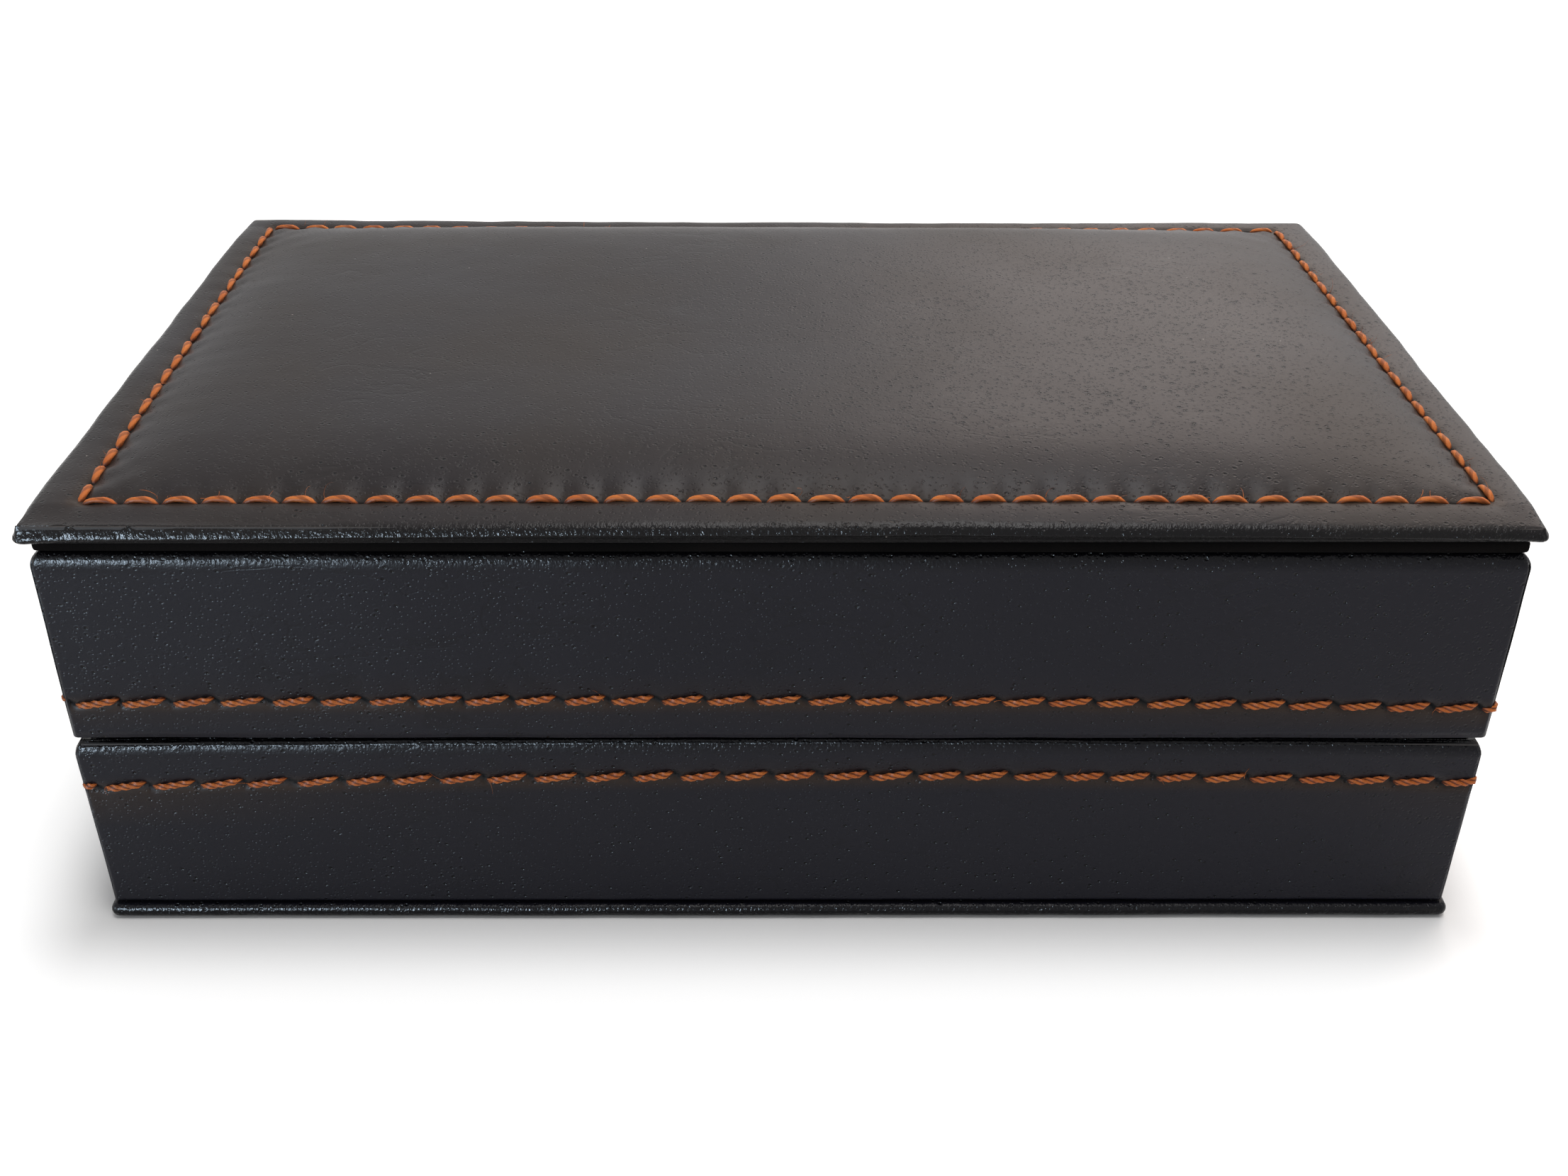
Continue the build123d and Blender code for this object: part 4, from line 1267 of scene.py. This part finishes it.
class BOX_OT_pads(bpy.types.Operator):
    """Padded velour: the lid's lining, and the floors of the tray and the drawer"""
    bl_idname = "box.pads"
    bl_label = "Padded linings"

    def execute(self, context):
        cross = [f"tray_divider_cross_{n}" for n in range(1, 6)]
        long = [f"tray_divider_long_{n}" for n in range(1, 4)]
        split = ["drawer_divider_left", "drawer_divider_right"]
        dress(self.lid_lining(), "lid_velour_painted_shade", "lid", "velour", "lid_lining_pad")
        tray = self.floor("tray_floor_pad", "tray_floor_lining", cross, long)
        dress(tray, "velour", "case", "velour", "tray_floor_pad")
        drawer = self.floor("drawer_floor_pad", "drawer_floor_lining", split, [])
        dress(drawer, "velour", "drawer", "velour", "drawer_floor_pad")
        return {"FINISHED"}

    def lid_lining(self):
        """The pad under the lid, swelled downwards inside the rim."""
        low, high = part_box("lid_lining_pad")
        low.x, high.x, low.y = low.x - 0.7 * MM, high.x + 0.7 * MM, low.y - 0.3 * MM
        pad = block("lid_lining", low, high)
        edit(pad, "EDGE")
        pick_edges(pad, lambda a, b: abs(a.z - b.z) > 1 * MM)
        bpy.ops.mesh.bevel(offset=0.6 * MM, segments=3, affect="EDGES")
        pick_edges(pad, lambda a, b: max(a.z, b.z) < low.z + 0.01 * MM)
        bpy.ops.mesh.bevel(offset=0.5 * MM, segments=3, affect="EDGES")
        leave()
        slice_evenly(pad, low, high, 2 * MM, 4 * MM)
        points = coords(pad)
        rest = 3.6 * MM
        x, y, z = points.T
        free = (z < low.z + 0.05 * MM) & (x > low.x + rest) & (x < high.x - rest)
        free &= (y > low.y + rest) & (y < high.y - rest)
        swell(pad, free, cap=1.6 * MM, soft=1.6 * MM, direction=(0, 0, -1))
        subdivide_smoothly(pad)
        shade(pad, 60)
        return pad

    def floor(self, node, name, across, along):
        """A soft floor that crowns a little between the dividers."""
        low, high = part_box(node)
        pad = block(name, low, high)
        step = 3 * MM
        bays = []
        for axis, dividers in ((0, across), (1, along)):
            edges = [low[axis]] + [end[axis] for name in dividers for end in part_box(name)] + [high[axis]]
            bays.append(list(zip(edges[::2], edges[1::2])))
            inner = [place for start, end in bays[axis] for place in steps(start, end, step)]
            slice_across(pad, axis, edges[1:-1] + inner)
        points = coords(pad)
        crown = points[:, 2] > high.z - 0.01 * MM
        for axis in (0, 1):
            share = np.zeros(len(points))
            for start, end in bays[axis]:
                within = (points[:, axis] > start) & (points[:, axis] < end)
                share = np.where(within, np.sin((points[:, axis] - start) / (end - start) * math.pi), share)
            crown = crown * np.clip(share, 0, 1) ** 0.5
        points[:, 2] += crown * 0.5 * MM
        set_coords(pad, points)
        shade(pad, 60)
        return pad


class BOX_OT_finishes(bpy.types.Operator):
    """Materials of the carried-over pieces: boards, linings, dividers, felt, hinges and screws"""
    bl_idname = "box.finishes"
    bl_label = "Finishes"

    def execute(self, context):
        finish = {"velour": "velour", "felt": "felt", "brass": "polished_brass", "board": "lining_paper",
                  "leather": "case_leather", "thread": "waxed_thread", "foam": "velour"}
        for part in frame["record"]["subparts"]:
            node = frame["nodes"][part["node"]]
            node.data.materials.clear()
            node.data.materials.append(bpy.data.materials[finish[part["material_slot"]]])
        return {"FINISHED"}


class BOX_OT_materials(bpy.types.Operator):
    """Shared effects and the materials made from them"""
    bl_idname = "box.materials"
    bl_label = "Materials"

    def execute(self, context):
        leather_grain_group()
        nap_group()
        # One leather in two copies: the lid's, warmer and lighter, is painted warm reflection; the case's
        # keeps the blue cast of painted cool light.
        leather_material("lid_leather", pores=1.1, creases=0.45, gloss=0.36, level=1.05, warmth=1.0)
        leather_material("case_leather", pores=1.2, creases=0.5, gloss=0.36, level=0.95, warmth=0.1)
        thread_material()
        velour_material("velour", colours().velour, pile=1.0, sheen=0.28)
        # The lid's lining is the velour at 0.3 of its colour with little sheen: painted shade for the gap
        # under the lid.
        velour_material("lid_velour_painted_shade", tuple(0.3 * c for c in colours().velour), pile=0.8, sheen=0.02)
        velour_material("felt", (0.016, 0.016, 0.017, 1), pile=0.7, sheen=0.16)
        board_material()
        brass_material()
        return {"FINISHED"}


class BOX_PT_panel(bpy.types.Panel):
    """Sidebar list of the box's pieces"""
    bl_idname = "BOX_PT_panel"
    bl_label = "Cufflink Box"
    bl_space_type = "VIEW_3D"
    bl_region_type = "UI"
    bl_category = "Cufflink Box"

    def draw(self, context):
        for operator in OPERATORS:
            self.layout.operator(operator.bl_idname)
        for settings in (context.scene.box_sizes, context.scene.box_colours):
            for name in settings.bl_rna.properties.keys():
                if name not in ("rna_type", "name"):
                    self.layout.prop(settings, name)


OPERATORS = (BOX_OT_stage, BOX_OT_materials, BOX_OT_finishes, BOX_OT_lid, BOX_OT_case, BOX_OT_drawer_front,
             BOX_OT_base, BOX_OT_stitching, BOX_OT_pads)
CLASSES = (BoxSizes, BoxColours) + OPERATORS + (BOX_PT_panel,)


def register():
    for kind in CLASSES:
        bpy.utils.register_class(kind)
    bpy.types.Scene.box_sizes = PointerProperty(type=BoxSizes)
    bpy.types.Scene.box_colours = PointerProperty(type=BoxColours)


def unregister():
    del bpy.types.Scene.box_colours
    del bpy.types.Scene.box_sizes
    for kind in reversed(CLASSES):
        bpy.utils.unregister_class(kind)


def main():
    register()
    bpy.context.scene.view_settings.view_transform = "Standard"
    for operator in OPERATORS:
        group, name = operator.bl_idname.split(".")
        getattr(getattr(bpy.ops, group), name)()


if __name__ == "__main__":
    main()
